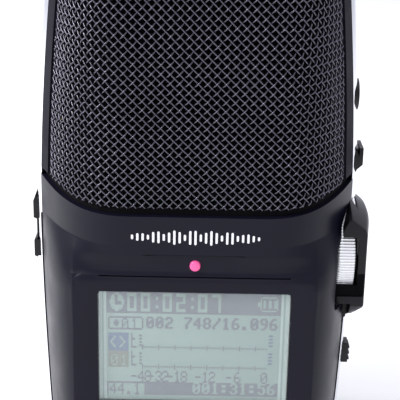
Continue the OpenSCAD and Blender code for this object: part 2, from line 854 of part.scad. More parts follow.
module usb_port() {
    x_out = half_width(usb_height) + panel_proud - 0.3;
    color([0.75, 0.76, 0.78]) mirror([1, 0, 0]) {
        difference() {
            block([x_out - 5.4, -1.95, usb_height - 3.85], [x_out, 1.95, usb_height + 3.85]);
            block([x_out - 4.6, -1.55, usb_height - 3.45], [x_out + 1, 1.55, usb_height + 3.45]);
        }
        // contact tongue
        block([x_out - 4.6 - eps, -0.4, usb_height - 2.6], [x_out - 1.6, 0.4, usb_height + 2.6]);
    }
}

// ================= electronics =================

module main_board() {
    color([0.08, 0.32, 0.2]) {
        difference() {
            block([-26.3, -7.6, 6.4], [26.3, -6.2, 57.6]);
            screw_points() translate([0, -12, 0]) rotate([-90, 0, 0]) cylinder(h = 9, r = 2.8);
            block([19.0, -9, wheel_height - 6], [27, -5.8, wheel_height + 6]);
            block([-27, -9, rocker_height - 8], [-24, -5, rocker_height + 8]);
        }
        // soldered chips
        block([-6, -6.2 - eps, 40], [4, -5.1, 50]);
        block([-20, -6.2 - eps, 24], [-12, -5.1, 32]);
        block([8, -6.2 - eps, 16], [14, -5.3, 22]);
    }
}

module sd_socket() {
    color([0.72, 0.73, 0.75]) difference() {
        block([-14.2, -11.9, 4.2], [14.2, -7.6, 32]);
        block([-12.3, card_y - 1.3, 3], [12.3, card_y + 1.3, 31.2]);
    }
}

module sd_card() {
    color([0.1, 0.15, 0.35]) difference() {
        block([-12, card_y - 1.05, 3.4], [12, card_y + 1.05, 30.8]);
        translate([12, card_y - 2, 30.8]) rotate([0, 45, 0]) block([-2.8, 0, -2.8], [2.8, 5, 2.8]);
    }
}

module sd_cover() {
    color([0.16, 0.16, 0.17]) difference() {
        union() {
            block([-14.5, cover_axis_y, 0.3], [14.5, -7.3, 1.7]);
            for (s = [-1, 1]) {
                bar_x(cover_axis_y, cover_axis_z, s * 9.5 - 4, s * 9.5 + 4, 0.95);
            }
        }
        bar_x(cover_axis_y, cover_axis_z, -20, 20, 0.45);
        block([-4, -8.3, 0], [4, -7, 0.7]);
    }
}

module sd_cover_pin() {
    color([0.7, 0.7, 0.72]) bar_x(cover_axis_y, cover_axis_z, -16.2, 16.2, 0.4);
}

module speaker() {
    color([0.3, 0.3, 0.32]) difference() {
        block([speaker_x - 3.4, 9.2, 13.6], [speaker_x + 3.4, 12.0, 28.4]);
        block([speaker_x - 2.8, 11.4, 14.4], [speaker_x + 2.8, 13, 27.6]);
        translate([speaker_x, 12.4, 21]) sphere(r = 2.1);
    }
}

// ================= battery bay =================

module battery_tray() {
    color([0.14, 0.14, 0.15]) difference() {
        block([-15.8, 2.3, 6.5], [15.8, 16.8, 60.5]);
        block([-14.8, 3.2, 7.4], [14.8, 18.5, 60.1]);
        // clear of the grille frame
        block([-17, 14.8, 57.4], [17, 18, 62]);
    }
}

module battery_cells() {
    color([0.7, 0.72, 0.7]) for (s = [-1, 1]) {
        translate([s * cell_spacing, cell_y, cell_bottom]) {
            cylinder(h = cell_length - 1.2, r = cell_radius);
            translate([0, 0, cell_length - 1.2 - eps]) cylinder(h = 1.2, r = 2.6);
        }
    }
}

module battery_springs() {
    color([0.8, 0.78, 0.7]) for (s = [-1, 1]) {
        translate([s * cell_spacing, cell_y, 7.4]) {
            cylinder(h = 0.5, r = 5);
            // coils of the cone spring, each resting on the one below
            for (i = [0 : 3]) {
                translate([0, 0, 0.65 + i * 0.34]) rotate_extrude()
                    translate([3.9 - i * 0.34, 0]) circle(r = 0.27, $fn = 16);
            }
        }
    }
}

module battery_contacts() {
    color([0.8, 0.78, 0.7]) for (s = [-1, 1]) {
        block([s * cell_spacing - 4, cell_y - 4, 59.92], [s * cell_spacing + 4, cell_y + 4, 60.1]);
    }
}

module battery_door() {
    heights = [door_axis_z, 14, 24, 36, 44, 46.5, 48, 49.5, door_top];
    color([0.2, 0.2, 0.22]) difference() {
        union() {
            intersection() {
                back_side() half_sheet(heights, 0.1, 0.1 + door_thick, 12);
                block([-door_half_width, 10, 5], [door_half_width, 24, 60]);
            }
            bar_x(door_axis_y, door_axis_z, -door_half_width, door_half_width, 1.45);
        }
        bar_x(door_axis_y, door_axis_z, -20, 20, 0.55);
        // finger ribs
        for (i = [0 : 4]) {
            block([-5, 19.6, 44 + i * 1.2], [5, 24, 44.5 + i * 1.2]);
        }
    }
}

module door_pin() {
    color([0.7, 0.7, 0.72]) bar_x(door_axis_y, door_axis_z, -17.8, 17.8, 0.5);
}

// ================= tripod socket and screws =================

module tripod_insert() {
    color([0.8, 0.65, 0.35]) difference() {
        union() {
            cylinder(h = 6.2, r = 3.8);
            translate([0, 0, 2.3]) cylinder(h = 1.2, r = 4.4);
        }
        translate([0, 0, -1]) cylinder(h = tripod_hole_depth + 1, r = tripod_hole_radius);
    }
}

module housing_screws() {
    color([0.35, 0.35, 0.37]) screw_points() difference() {
        union() {
            translate([0, 7.6, 0]) rotate([90, 0, 0]) cylinder(h = 1.6, r = 1.9);
            translate([0, 6.1, 0]) rotate([90, 0, 0]) cylinder(h = 13, r = 0.95);
        }
        translate([0, 7.7, 0]) rotate([90, 0, 0]) cylinder(h = 1.1, r = 1.0, $fn = 6);
    }
}

// ================= nodes =================

front_shell();
rear_shell();
left_side_panel();
right_side_panel();
base_plate();
front_grille_frame();
rear_grille_frame();
front_grille();
rear_grille();
front_cloth();
rear_cloth();
mic_deck();
capsule_mount();
xy_capsules();
mid_capsule();
side_capsules();
top_cap();
mode_switch();
mode_dial();
mode_dial_stem();
lcd_window();
lcd_frame();
lcd_module();
display_board();
led_lens();
record_button_ring();
record_button();
tact_switches();
gain_wheel();
gain_shaft();
gain_pot();
gain_guard();
menu_button();
play_lever();
play_lever_carrier();
play_switch();
volume_rocker();
rocker_pin();
rocker_bracket();
power_slider();
power_switch();
line_in_jack();
phones_jack();
remote_jack();
usb_port();
main_board();
sd_socket();
sd_card();
sd_cover();
sd_cover_pin();
speaker();
battery_tray();
battery_cells();
battery_springs();
battery_contacts();
battery_door();
door_pin();
tripod_insert();
housing_screws();
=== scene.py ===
"""Looks of a portable field recorder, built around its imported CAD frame.

Shape code works in millimetres; new_object() turns them into metres.
+Z is up, the display faces -Y and the gain wheel is at +X.
"""

import json
import math

import bmesh
import bpy
import numpy as np
from mathutils import Matrix, Vector


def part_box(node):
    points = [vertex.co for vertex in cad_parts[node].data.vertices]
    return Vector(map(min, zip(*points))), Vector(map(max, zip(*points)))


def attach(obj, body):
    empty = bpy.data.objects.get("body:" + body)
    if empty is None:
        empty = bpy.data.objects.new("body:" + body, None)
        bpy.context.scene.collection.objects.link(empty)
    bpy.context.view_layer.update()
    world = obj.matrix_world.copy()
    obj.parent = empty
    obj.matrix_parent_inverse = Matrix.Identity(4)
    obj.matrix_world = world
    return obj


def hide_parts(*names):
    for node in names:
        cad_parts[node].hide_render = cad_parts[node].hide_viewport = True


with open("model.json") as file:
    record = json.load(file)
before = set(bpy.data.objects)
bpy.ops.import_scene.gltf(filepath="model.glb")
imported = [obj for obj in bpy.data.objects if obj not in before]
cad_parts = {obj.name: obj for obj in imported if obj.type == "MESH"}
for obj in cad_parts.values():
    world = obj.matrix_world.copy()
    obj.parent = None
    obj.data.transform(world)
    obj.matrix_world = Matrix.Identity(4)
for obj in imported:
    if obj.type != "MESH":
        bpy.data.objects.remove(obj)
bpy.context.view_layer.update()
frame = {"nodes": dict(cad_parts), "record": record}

MM = 0.001
BODY = "recorder_body"
SLOT_OF = {part["node"]: part["material_slot"] for part in frame["record"]["subparts"]}


def node_box(name):
    """Lowest and highest corner of a CAD node in millimetres."""
    low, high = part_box(name)
    return np.array(low) / MM, np.array(high) / MM


def centre_z(name):
    low, high = node_box(name)
    return (low[2] + high[2]) / 2


# ---- driving dimensions in millimetres; what other nodes fix is read from the frame ----
SHOULDER = 30.8  # half width at the widest height
WIDEST = 57.0
BODY_DEPTH = 20.2  # half depth of the lower body
HEAD_DEPTH = -node_box("front_grille")[0][1]
SEAM = 4.6  # half width of the gap between the two shells
COLLAR = 58.4  # upper edge of the shells at the front
CAP_BOTTOM = node_box("top_cap")[0][2]
WALL = 2.0
HEAD_TAPER, HEAD_SPAN, HEAD_POWER = 2.2, 38, 1.6  # narrowing above the widest height
BASE_TAPER, BASE_SPAN, BASE_POWER = 1.2, 45, 1.9  # and below it
SIDE_ROUND, FRONT_ROUND = 9, 5  # lower edges
DEPTH_START, DEPTH_SPAN = 45, 40  # heights over which the depth changes to the head's
TOP_TAPER, TOP_START, TOP_SPAN = 1.75, 85, 18  # head leaning in towards the cap
CORNER_POWER = 8.5  # squareness of the lower body
FLANK_START, FLANK_POWER = 11.5, 2.7  # flat middle and curve of the head
HEAD_START, HEAD_BLEND, BLEND_POWER = 43.2, 9.2, 1.7  # lower body's outline turning into the head's
PANEL_HALF = 4.5
PANEL_CROWN = 1.1
PANEL_DIP = 0.54  # how far a panel's edge lies below the shell
FACET_HALF = 23.3
FACET_BOTTOM = 17.5
FACET_TOP = 46.2
FACET_PROUD = 0.12
VALLEY_DEPTH = 0.34
DISPLAY_SLIT, EMBLEM_SLIT = 46.22, 50.62  # heights of the two slits in the front
COLLAR_TILT = 0.19

window_low, window_high = node_box("lcd_window")
(wheel_in, _, wheel_low), (wheel_out, _, wheel_high) = node_box("gain_wheel")
WHEEL_Z = centre_z("gain_wheel")
WHEEL_R = (wheel_high - wheel_low) / 2
record_low, record_high = node_box("record_button")
RECORD_Z = centre_z("record_button")
RECORD_R = (record_high[0] - record_low[0]) / 2
LAMP_Z = centre_z("led_lens")


# ---- shape of the body ----

def smooth(t):
    """Eased step from 0 to 1."""
    c = np.clip(t, 0, 1)
    return c * c * (3 - 2 * c)


def corner(z, r):
    """How far a lower edge of radius r draws in at height z."""
    gap = np.clip(r - z, 0, r)
    return r - np.sqrt(r * r - gap * gap)


def half_width(z):
    """Half width of the body: widest at one height, narrower above and below."""
    above = HEAD_TAPER * np.clip((z - WIDEST) / HEAD_SPAN, 0, None) ** HEAD_POWER
    below = BASE_TAPER * np.clip((WIDEST - z) / BASE_SPAN, 0, None) ** BASE_POWER
    return SHOULDER - above - below - corner(z, SIDE_ROUND)


def half_depth(z):
    """Half depth of the body, changing from the lower body to the head."""
    head = (HEAD_DEPTH - BODY_DEPTH) * smooth((z - DEPTH_START) / DEPTH_SPAN)
    lean = TOP_TAPER * np.clip((z - TOP_START) / TOP_SPAN, 0, None) ** 2
    return BODY_DEPTH + head - lean - corner(z, FRONT_ROUND)


def section_y(x, z, inset=0.0):
    """y of the front surface: square lower body, head with a flat middle and flanks."""
    depth = half_depth(z) - inset
    width = half_width(z) - inset
    across = np.abs(x)
    flat = (FACET_HALF / width) ** CORNER_POWER
    square = (depth - SEAM) * np.clip(((across / width) ** CORNER_POWER - flat) / (1 - flat), 0, 1)
    away = np.clip((across - FLANK_START) / (width - FLANK_START), 0, 1)
    flank = (depth - SEAM) * away ** FLANK_POWER
    head = np.clip((z - HEAD_START) / HEAD_BLEND, 0, 1) ** BLEND_POWER
    return -depth + square + (flank - square) * head


def rim_rise(y, z):
    """How much the collar edge rises towards the sides."""
    return COLLAR_TILT * (y + half_depth(z))


def rectangle_distance(x, z, half, low, high, radius):
    """Signed distance to a rectangle with round corners, negative inside."""
    middle, size = (low + high) / 2, (high - low) / 2
    dx = np.abs(x) - (half - radius)
    dz = np.abs(z - middle) - (size - radius)
    outside = np.hypot(np.clip(dx, 0, None), np.clip(dz, 0, None))
    return outside + np.minimum(np.maximum(dx, dz), 0) - radius


def front_face(x, z):
    """y of the front surface with its facet, lip, slits and the valley above the display."""
    across = np.abs(x)
    y = section_y(x, z)
    # valley between the emblem and the display, its upper edge sharp only in the middle
    sharp = smooth((10.5 - across) / 4)
    upper = sharp * (z < 50.65) + (1 - sharp) * smooth((50.65 - z) / 2.6)
    lower = 1 - np.clip((47.4 - z) / 1.1, 0, 1) ** 2
    y = y + VALLEY_DEPTH * smooth((25.5 - across) / 4) * upper * lower
    # facet around the display, its edge rounded over
    half = FACET_HALF - 0.5 * smooth((42 - z) / 18)
    d = rectangle_distance(x, z, half, FACET_BOTTOM, FACET_TOP, 1.8)
    crisp = smooth((z - 43.5) / 2)
    away = np.clip(d, 0, None)
    rounded = (0.12 + 0.33 * crisp) * np.clip(1 + d / (3.2 - 1.6 * crisp), 0, 1) ** 2.2
    plate = -(BODY_DEPTH + FACET_PROUD) + rounded + (0.45 + 0.7 * crisp + 0.6 * away) * away
    blend = 0.22
    h = np.clip(0.5 + (plate - y) / (2 * blend), 0, 1)
    y = plate * (1 - h) + y * h - blend * h * (1 - h)
    above_display = slit(across, z, 18.2, DISPLAY_SLIT, 0.2)
    below_emblem = slit(across, z, 8.8, EMBLEM_SLIT, 0.17, 3.5)
    return y + 0.9 * above_display + 0.35 * below_emblem


def slit(across, z, half, centre, wide, fade=0.3):
    """1 inside a narrow level slit, fading out at its ends."""
    return smooth((half - across) / fade + 0.5) * (np.abs(z - centre) < wide / 2)


# ---- mesh helpers ----

def linked(name, data):
    """Object of a mesh, lamp or camera, added to the scene."""
    obj = bpy.data.objects.new(name, data)
    bpy.context.scene.collection.objects.link(obj)
    return obj


def new_object(name, verts, faces):
    """Object of a mesh given in millimetres, normals turned outward."""
    mesh = bpy.data.meshes.new(name)
    mesh.from_pydata((np.asarray(verts, float) * MM).tolist(), [], [list(f) for f in faces])
    work = bmesh.new()
    work.from_mesh(mesh)
    bmesh.ops.recalc_face_normals(work, faces=work.faces)
    work.to_mesh(mesh)
    work.free()
    return linked(name, mesh)


def bake(obj):
    """Applies the modifiers of an object."""
    graph = bpy.context.evaluated_depsgraph_get()
    baked = bpy.data.meshes.new_from_object(obj.evaluated_get(graph), depsgraph=graph)
    obj.modifiers.clear()
    obj.data = baked
    return obj


def combine(obj, operation, shapes):
    """Cuts or adds closed shapes, each (verts, faces)."""
    tools = []
    for shape in shapes:
        tool = new_object("tool", *shape)
        step = obj.modifiers.new("combine", "BOOLEAN")
        step.operation = operation
        step.solver = "MANIFOLD"
        step.object = tool
        tools.append(tool)
    bake(obj)
    for tool in tools:
        bpy.data.objects.remove(tool)
    return obj


def subtract(obj, *shapes):
    return combine(obj, "DIFFERENCE", shapes)


def unite(obj, *shapes):
    return combine(obj, "UNION", shapes)


def round_edges(obj, width, segments=3, angle=30.0):
    bevel = obj.modifiers.new("round", "BEVEL")
    bevel.width = width * MM
    bevel.segments = segments
    bevel.limit_method = "ANGLE"
    bevel.angle_limit = math.radians(angle)
    return bake(obj)


def shade(obj, angle):
    """Smooth shading that keeps edges sharper than the angle."""
    for polygon in obj.data.polygons:
        polygon.use_smooth = True
    obj.data.set_sharp_from_angle(angle=math.radians(angle))


def place(obj, slot, stands_for=(), body=BODY, look=None, sharp=40.0):
    """Gives a piece its material, shading and body, and hides the CAD nodes it stands for."""
    obj.data.materials.clear()
    obj.data.materials.append(MATERIALS[look or slot])
    shade(obj, sharp)
    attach(obj, body)
    if stands_for:
        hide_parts(*stands_for)
    return obj


def solid(name, shape, *values, **details):
    """Places a new object made of one shape."""
    return place(new_object(name, *shape), *values, **details)


def joined(*shapes):
    """One shape of several separate ones."""
    verts, faces = [], []
    for v, f in shapes:
        start = len(verts)
        verts.extend(list(p) for p in v)
        faces.extend([i + start for i in face] for face in f)
    return verts, faces


def box(low, high):
    xs, ys, zs = zip(low, high)
    verts = [(x, y, z) for x in xs for y in ys for z in zs]
    faces = [(0, 1, 3, 2), (4, 6, 7, 5), (0, 4, 5, 1), (2, 3, 7, 6), (0, 2, 6, 4), (1, 5, 7, 3)]
    return verts, faces


def prism(outline, axis, low, high):
    """Outline in the two other axes, in x-y-z order, stretched along one axis."""
    n = len(outline)
    at = "xyz".index(axis)
    verts = [tuple(np.insert(p, at, t)) for t in (low, high) for p in outline]
    sides = [(i, (i + 1) % n, n + (i + 1) % n, n + i) for i in range(n)]
    return verts, sides + [tuple(range(n))[::-1], tuple(range(n, 2 * n))]


def turned(profile, axis, centre, steps=72, radius_of=None):
    """Lathe shape. profile is [(radius, place along the axis), ...], centre the two other axes."""
    at = "xyz".index(axis)
    angles = np.arange(steps) * 2 * math.pi / steps
    verts, faces, rows = [], [], []
    for r, t in profile:
        if r == 0:
            rows.append([len(verts)])
            verts.append(np.insert(np.array(centre, float), at, t))
            continue
        rows.append(list(range(len(verts), len(verts) + steps)))
        for a in angles:
            rr = r if radius_of is None else radius_of(r, a)
            flat = (centre[0] + rr * math.cos(a), centre[1] + rr * math.sin(a))
            verts.append(np.insert(flat, at, t))
    for low, high in zip(rows, rows[1:]):
        for i in range(steps):
            j = (i + 1) % steps
            if len(low) == 1:
                faces.append((low[0], high[i], high[j]))
            elif len(high) == 1:
                faces.append((low[i], low[j], high[0]))
            else:
                faces.append((low[i], low[j], high[j], high[i]))
    for row in (rows[0], rows[-1]):
        if len(row) > 1:
            faces.append(tuple(row))
    return verts, faces


def turned_ring(profile, axis, centre, steps):
    """Lathe shape whose profile closes on itself, so it has a bore and no caps."""
    verts, faces = turned(profile, axis, centre, steps)
    last = (len(profile) - 1) * steps
    closing = [(last + i, last + (i + 1) % steps, (i + 1) % steps, i) for i in range(steps)]
    return verts, faces[:-2] + closing


def rod(axis, centre, low, high, radius, steps=48):
    return turned([(radius, low), (radius, high)], axis, centre, steps)


def rounded_outline(x0, y0, x1, y1, r, steps=6):
    centres = [(x1 - r, y1 - r), (x0 + r, y1 - r), (x0 + r, y0 + r), (x1 - r, y0 + r)]
    points = []
    for k, (cx, cy) in enumerate(centres):
        for i in range(steps + 1):
            a = math.pi / 2 * (k + i / steps)
            points.append((cx + r * math.cos(a), cy + r * math.sin(a)))
    return points


def loft(rings, strip_caps=False):
    """Closed stack of rings of equal length; strip caps suit mirrored curved ends."""
    n = len(rings[0])
    verts = [p for ring in rings for p in ring]
    faces = [(k * n + i, k * n + (i + 1) % n, (k + 1) * n + (i + 1) % n, (k + 1) * n + i)
             for k in range(len(rings) - 1) for i in range(n)]
    for start in (0, (len(rings) - 1) * n):
        if not strip_caps:
            faces.append(tuple(range(start, start + n)))
            continue
        for i in range(n // 2):
            quad = [start + i, start + i + 1, start + n - 2 - i, start + n - 1 - i]
            seen = list(dict.fromkeys(quad))
            if len(seen) > 2:
                faces.append(tuple(seen))
    return verts, faces


def mirrored_y(shape):
    verts, faces = shape
    return [(x, -y, z) for x, y, z in verts], faces


def front_or_rear(name, shape, sign):
    """Object of a front shape, turned to the rear where the sign is positive."""
    return new_object(name, *(shape if sign < 0 else mirrored_y(shape)))


def spread(count):
    """Values from -1 to 1, closer together at both ends."""
    return np.sin(np.linspace(-math.pi / 2, math.pi / 2, count))


def spaced(*parts):
    """Values through consecutive (start, end, step) stretches, without repeats."""
    values = []
    for start, end, step in parts:
        count = max(1, int(round((end - start) / step)))
        values.extend(start + (end - start) * i / count for i in range(count))
    return np.array(values + [parts[-1][1]])


# ---- materials ----

def set_inputs(node, **values):
    """Sets a node's sockets; an underscore stands for the space in a socket's name."""
    for label, value in values.items():
        node.inputs[label.replace("_", " ")].default_value = value


def node_material(name, color, rough, metal=0.0, specular=0.5, coat=0.0, grain=3000.0, relief=0.05,
                  mottling=0.1, rough_spread=0.05, stretch=(1, 1, 1), alpha=1.0, glow=0.0):
    """Principled material with fine grain, broad colour and gloss variation, all from nodes."""
    material = bpy.data.materials.new(name)
    material.use_nodes = True
    nodes, links = material.node_tree.nodes, material.node_tree.links
    shader = nodes["Principled BSDF"]
    set_inputs(shader, Metallic=metal, Specular_IOR_Level=specular, Alpha=alpha,
               Coat_Weight=coat, Coat_Roughness=0.05)
    place_node = nodes.new("ShaderNodeTexCoord")
    mapping = nodes.new("ShaderNodeMapping")
    set_inputs(mapping, Scale=stretch)
    links.new(place_node.outputs["Object"], mapping.inputs["Vector"])

    def noise(scale, detail):
        node = nodes.new("ShaderNodeTexNoise")
        set_inputs(node, Scale=scale, Detail=detail)
        links.new(mapping.outputs["Vector"], node.inputs["Vector"])
        return node.outputs["Fac"]

    def remap(value, low, high):
        node = nodes.new("ShaderNodeMapRange")
        set_inputs(node, From_Min=0.3, From_Max=0.7, To_Min=low, To_Max=high)
        links.new(value, node.inputs["Value"])
        return node.outputs["Result"]

    fine = noise(grain, 3.0)
    broad = noise(grain / 30, 4.0)
    ramp = nodes.new("ShaderNodeValToRGB")
    stops = ((0.3, 1 - mottling), (0.7, 1 + mottling))
    for element, (position, gain) in zip(ramp.color_ramp.elements, stops):
        element.position = position
        element.color = [min(1, c * gain) for c in color] + [1]
    links.new(broad, ramp.inputs["Fac"])
    links.new(ramp.outputs["Color"], shader.inputs["Base Color"])
    links.new(remap(broad, max(0, rough - rough_spread), rough + rough_spread),
              shader.inputs["Roughness"])
    bump = nodes.new("ShaderNodeBump")
    set_inputs(bump, Strength=relief, Distance=0.0001)
    links.new(fine, bump.inputs["Height"])
    links.new(bump.outputs["Normal"], shader.inputs["Normal"])
    if glow:
        set_inputs(shader, Emission_Color=[*color, 1], Emission_Strength=glow)
    return material


MATERIALS = {}


def paint(name, *values, **details):
    MATERIALS[name] = node_material(name, *values, **details)


paint("shell_plastic", (0.0046, 0.0044, 0.0115), 0.37, specular=0.18, grain=5000, relief=0.12)
paint("panel_plastic", (0.005, 0.005, 0.0065), 0.12, specular=0.45, coat=0.2, grain=2500, relief=0.03)
paint("panel_silver", (0.86, 0.87, 0.9), 0.16, metal=1.0, grain=2500, relief=0.03, mottling=0.02)
paint("frame_plastic", (0.008, 0.0075, 0.013), 0.6, specular=0.08, grain=6000, relief=0.25)
# near-black painted shade, given to rails, the deck rim, seam strips and the wheel sill where the
# shadow is dark
paint("painted_shade_black", (0.0015, 0.0013, 0.002), 0.8, specular=0.1, grain=4000, relief=0.2)
paint("mesh_wire", (0.105, 0.102, 0.125), 0.26, metal=0.85, grain=4000, relief=0.15, mottling=0.08,
      rough_spread=0.02)
paint("cloth", (0.0012, 0.001, 0.0016), 0.95, specular=0.03, grain=2600, relief=0.8, mottling=0.15)
paint("inner_plastic", (0.02, 0.02, 0.022), 0.5, relief=0.2)
paint("capsule_metal", (0.45, 0.45, 0.47), 0.3, metal=1.0, relief=0.1)
paint("dial_plastic", (0.016, 0.016, 0.018), 0.38, grain=4500, relief=0.3)
paint("window_glass", (0.7, 0.78, 0.75), 0.04, alpha=0.1, relief=0.005, grain=300)
paint("lcd_panel", (0.295, 0.38, 0.35), 0.35, specular=0.3, grain=1500, relief=0.02, mottling=0.04)
paint("lcd_edge", (0.43, 0.52, 0.49), 0.3, grain=1500, relief=0.02, mottling=0.05)
paint("lcd_ink", (0.2, 0.21, 0.235), 0.4, specular=0.2, grain=1500, mottling=0.06)
paint("lcd_ink_blue", (0.17, 0.21, 0.29), 0.4, specular=0.2, grain=1500)
paint("lcd_ink_tan", (0.24, 0.26, 0.225), 0.4, specular=0.2, grain=1500)
paint("bright_metal", (0.55, 0.55, 0.56), 0.25, metal=1.0, stretch=(1, 1, 0.05))
paint("board", (0.01, 0.08, 0.04), 0.35, grain=1200, relief=0.1)
paint("lamp_lens", (0.86, 0.11, 0.32), 0.25, grain=1500, mottling=0.05, glow=0.18)
paint("button_plastic", (0.004, 0.004, 0.0048), 0.36, specular=0.3, grain=6000, relief=0.25)
paint("ring_metal", (0.62, 0.62, 0.64), 0.14, metal=1.0, stretch=(0.1, 1, 0.1))
paint("wheel_metal", (0.95, 0.96, 0.95), 0.16, metal=1.0, grain=1800, relief=0.04, stretch=(0.08, 1, 1))
paint("guard_plastic", (0.015, 0.0145, 0.0165), 0.34, specular=0.15, grain=4000, relief=0.08)
paint("gold", (0.83, 0.6, 0.24), 0.2, metal=1.0, relief=0.05)
paint("jack_plastic", (0.02, 0.02, 0.021), 0.4, relief=0.2)
paint("bushing_grey", (0.35, 0.35, 0.37), 0.3, metal=0.6, relief=0.1)
paint("card", (0.02, 0.045, 0.16), 0.3, relief=0.05)
paint("speaker_black", (0.02, 0.02, 0.022), 0.6, relief=0.3)
paint("cell_wrap", (0.33, 0.35, 0.34), 0.25, metal=0.6, relief=0.03)
paint("screw_steel", (0.1, 0.1, 0.105), 0.32, metal=1.0, relief=0.1)
paint("white_paint", (0.86, 0.86, 0.87), 0.35, mottling=0.04)
paint("floor", (0.9, 0.9, 0.9), 0.6, specular=0.2, grain=400, relief=0.01, mottling=0.01)

# a CAD node that stays visible takes the material of its record slot, except that the rim of the
# microphone deck, seen through the mesh, takes the near-black painted shade of the rails
for node_name, node_object in frame["nodes"].items():
    node_look = "painted_shade_black" if node_name == "mic_deck" else SLOT_OF[node_name]
    for slot_of_object in node_object.material_slots:
        slot_of_object.material = MATERIALS[node_look]


# ---- shells ----

def outer_solid(rows, columns, face):
    """Closed front half between its surface and the seam plane."""
    z = rows[:, None]
    x = columns[None, :] * half_width(z)
    z = np.broadcast_to(z, x.shape)
    y = np.minimum(face(x, z), -SEAM)
    share = (rows[:, None] - rows[0]) / (rows[-1] - rows[0])
    rings = np.stack([x, y, z + rim_rise(y, z) * share ** 6], axis=2)
    return loft([list(map(tuple, ring)) for ring in rings], strip_caps=True)


def inner_solid(low, high, inset=WALL, columns=60, levels=40):
    """Closed filler of the space behind a wall of the given thickness."""
    rings = []
    for z in np.linspace(low, high, levels):
        x = spread(columns) * (half_width(z) - inset)
        y = section_y(x, z, inset)
        ring = [(a, b, z) for a, b in zip(x, y)]
        rings.append(ring + [(x[-1], 1.0, z), (x[0], 1.0, z)])
    return loft(rings)


ROWS = spaced((0, 1, 0.08), (1, 9, 0.25), (9, 16, 0.5), (16, 19, 0.15), (19, 43.6, 0.5),
              (43.6, 45.9, 0.12), (45.9, 46.7, 0.04), (46.7, 48, 0.12), (48, 50.4, 0.2),
              (50.4, 50.85, 0.03), (50.85, 52.8, 0.12), (52.8, COLLAR, 0.3))
HALF_COLUMNS = spaced((0, 0.26, 0.012), (0.26, 0.36, 0.005), (0.36, 0.56, 0.012), (0.56, 0.62, 0.004),
                      (0.62, 0.7, 0.006), (0.7, 0.82, 0.0028), (0.82, 0.94, 0.008), (0.94, 1, 0.003))
COLUMNS = np.concatenate([-HALF_COLUMNS[:0:-1], HALF_COLUMNS])
PLAIN_ROWS = spaced((0, 1, 0.1), (1, 9, 0.3), (9, 46, 1.0), (46, 53, 0.3), (53, COLLAR, 0.6))
PLAIN_COLUMNS = spread(141)


BEYOND = 36  # x outside everything at the sides
INSIDE = 25  # x well inside the walls
WHEEL_GAP = 0.35


def notch_cutters():
    """Room for the gain wheel and its guard."""
    notch = [(BEYOND, 37), (BEYOND, 51.6), (29.4, 51.6), (28.5, 50.9), (27.9, 49.6), (27.5, 47.8),
             (27.4, 38.2), (27.7, 37.3), (28.4, 37)]
    hood = [(28.6, 50.6), (BEYOND, 50.6), (BEYOND, 57.2), (30.2, 57.2), (29.5, 55.4), (28.6, 52.8)]
    hood_half, foot_half = 11.5, 6.2
    return [rod("x", (0, WHEEL_Z), 27.4, BEYOND, WHEEL_R + WHEEL_GAP, 96),
            prism(notch, "y", -24, 24),
            prism(hood, "y", -hood_half, hood_half),
            box((28.6, -foot_half, 30.8), (BEYOND, foot_half, 38))]


WINDOW_GAP = 0.12
HOLE_FRONT, HOLE_BACK = -22, -14
SHELL_INSIDE = inner_solid(2.2, COLLAR + 6)

front = new_object("shell_front", *outer_solid(ROWS, COLUMNS, front_face))
window_hole = rounded_outline(window_low[0] - WINDOW_GAP, window_low[2] - WINDOW_GAP,
                              window_high[0] + WINDOW_GAP, window_high[2] + WINDOW_GAP, 0.8)
card_mouth = box((-14.9, -14.25, -1), (14.9, -6.9, 3.2))
subtract(front, SHELL_INSIDE,
         prism(window_hole, "y", HOLE_FRONT, -15),
         rod("y", (0, RECORD_Z), HOLE_FRONT, HOLE_BACK, RECORD_R + 1.08, 96),
         rod("y", (0, LAMP_Z), HOLE_FRONT, HOLE_BACK, 1.18, 40),
         card_mouth, *notch_cutters())
place(front, "shell_plastic", ["front_shell"], sharp=50)

rear = new_object("shell_rear", *mirrored_y(outer_solid(PLAIN_ROWS, PLAIN_COLUMNS, section_y)))
# the door reaches a little below its hinge line, so the shell is cut round the sweep of its foot
DOOR_HALF, _, DOOR_TOP = node_box("battery_door")[1]
DOOR_AXIS = (18.6, 8.0)
DOOR_FOOT = 6.35
DOOR_SWEEP = 3.25
DOOR_GAP = 0.3
SPEAKER_X, SLOT_PITCH, SLOT_HALF = -21.2, 1.3, 0.35
SCREWS = [(x, z) for x in (-23, 23) for z in (9, 54.4)]
speaker_slots = []
for index in range(-2, 3):
    slot_x = SPEAKER_X + index * SLOT_PITCH
    slot_outline = rounded_outline(slot_x - SLOT_HALF, 15, slot_x + SLOT_HALF, 27, 0.34)
    speaker_slots.append(prism(slot_outline, "y", 8, 24))
screw_wells = [rod("y", screw, 6, 24, 2.05, 40) for screw in SCREWS]
door_cut = DOOR_HALF + DOOR_GAP
subtract(rear, mirrored_y(SHELL_INSIDE),
         box((-door_cut, 15, DOOR_AXIS[1]), (door_cut, 24, DOOR_TOP + DOOR_GAP)),
         rod("x", DOOR_AXIS, -door_cut, door_cut, DOOR_SWEEP, 64),
         box((-door_cut, 20.2, 5.25), (door_cut, 24, 6.6)),
         *speaker_slots, *screw_wells, *notch_cutters())
place(rear, "shell_plastic", ["rear_shell"], sharp=50)


# ---- side panels ----

def panel_ring(z, side, low_round):
    """Cross-section of a side panel: a crowned band whose edges dip below the shell."""
    top, inner = half_width(z) + PANEL_CROWN - low_round, half_width(z) - 2.6
    y = np.linspace(-PANEL_HALF, PANEL_HALF, 25)
    x = top - (PANEL_CROWN + PANEL_DIP) * np.abs(y / PANEL_HALF) ** 4
    points = [(inner, -PANEL_HALF)] + list(zip(x, y)) + [(inner, PANEL_HALF)]
    return [(side * px, py, z) for px, py in points]


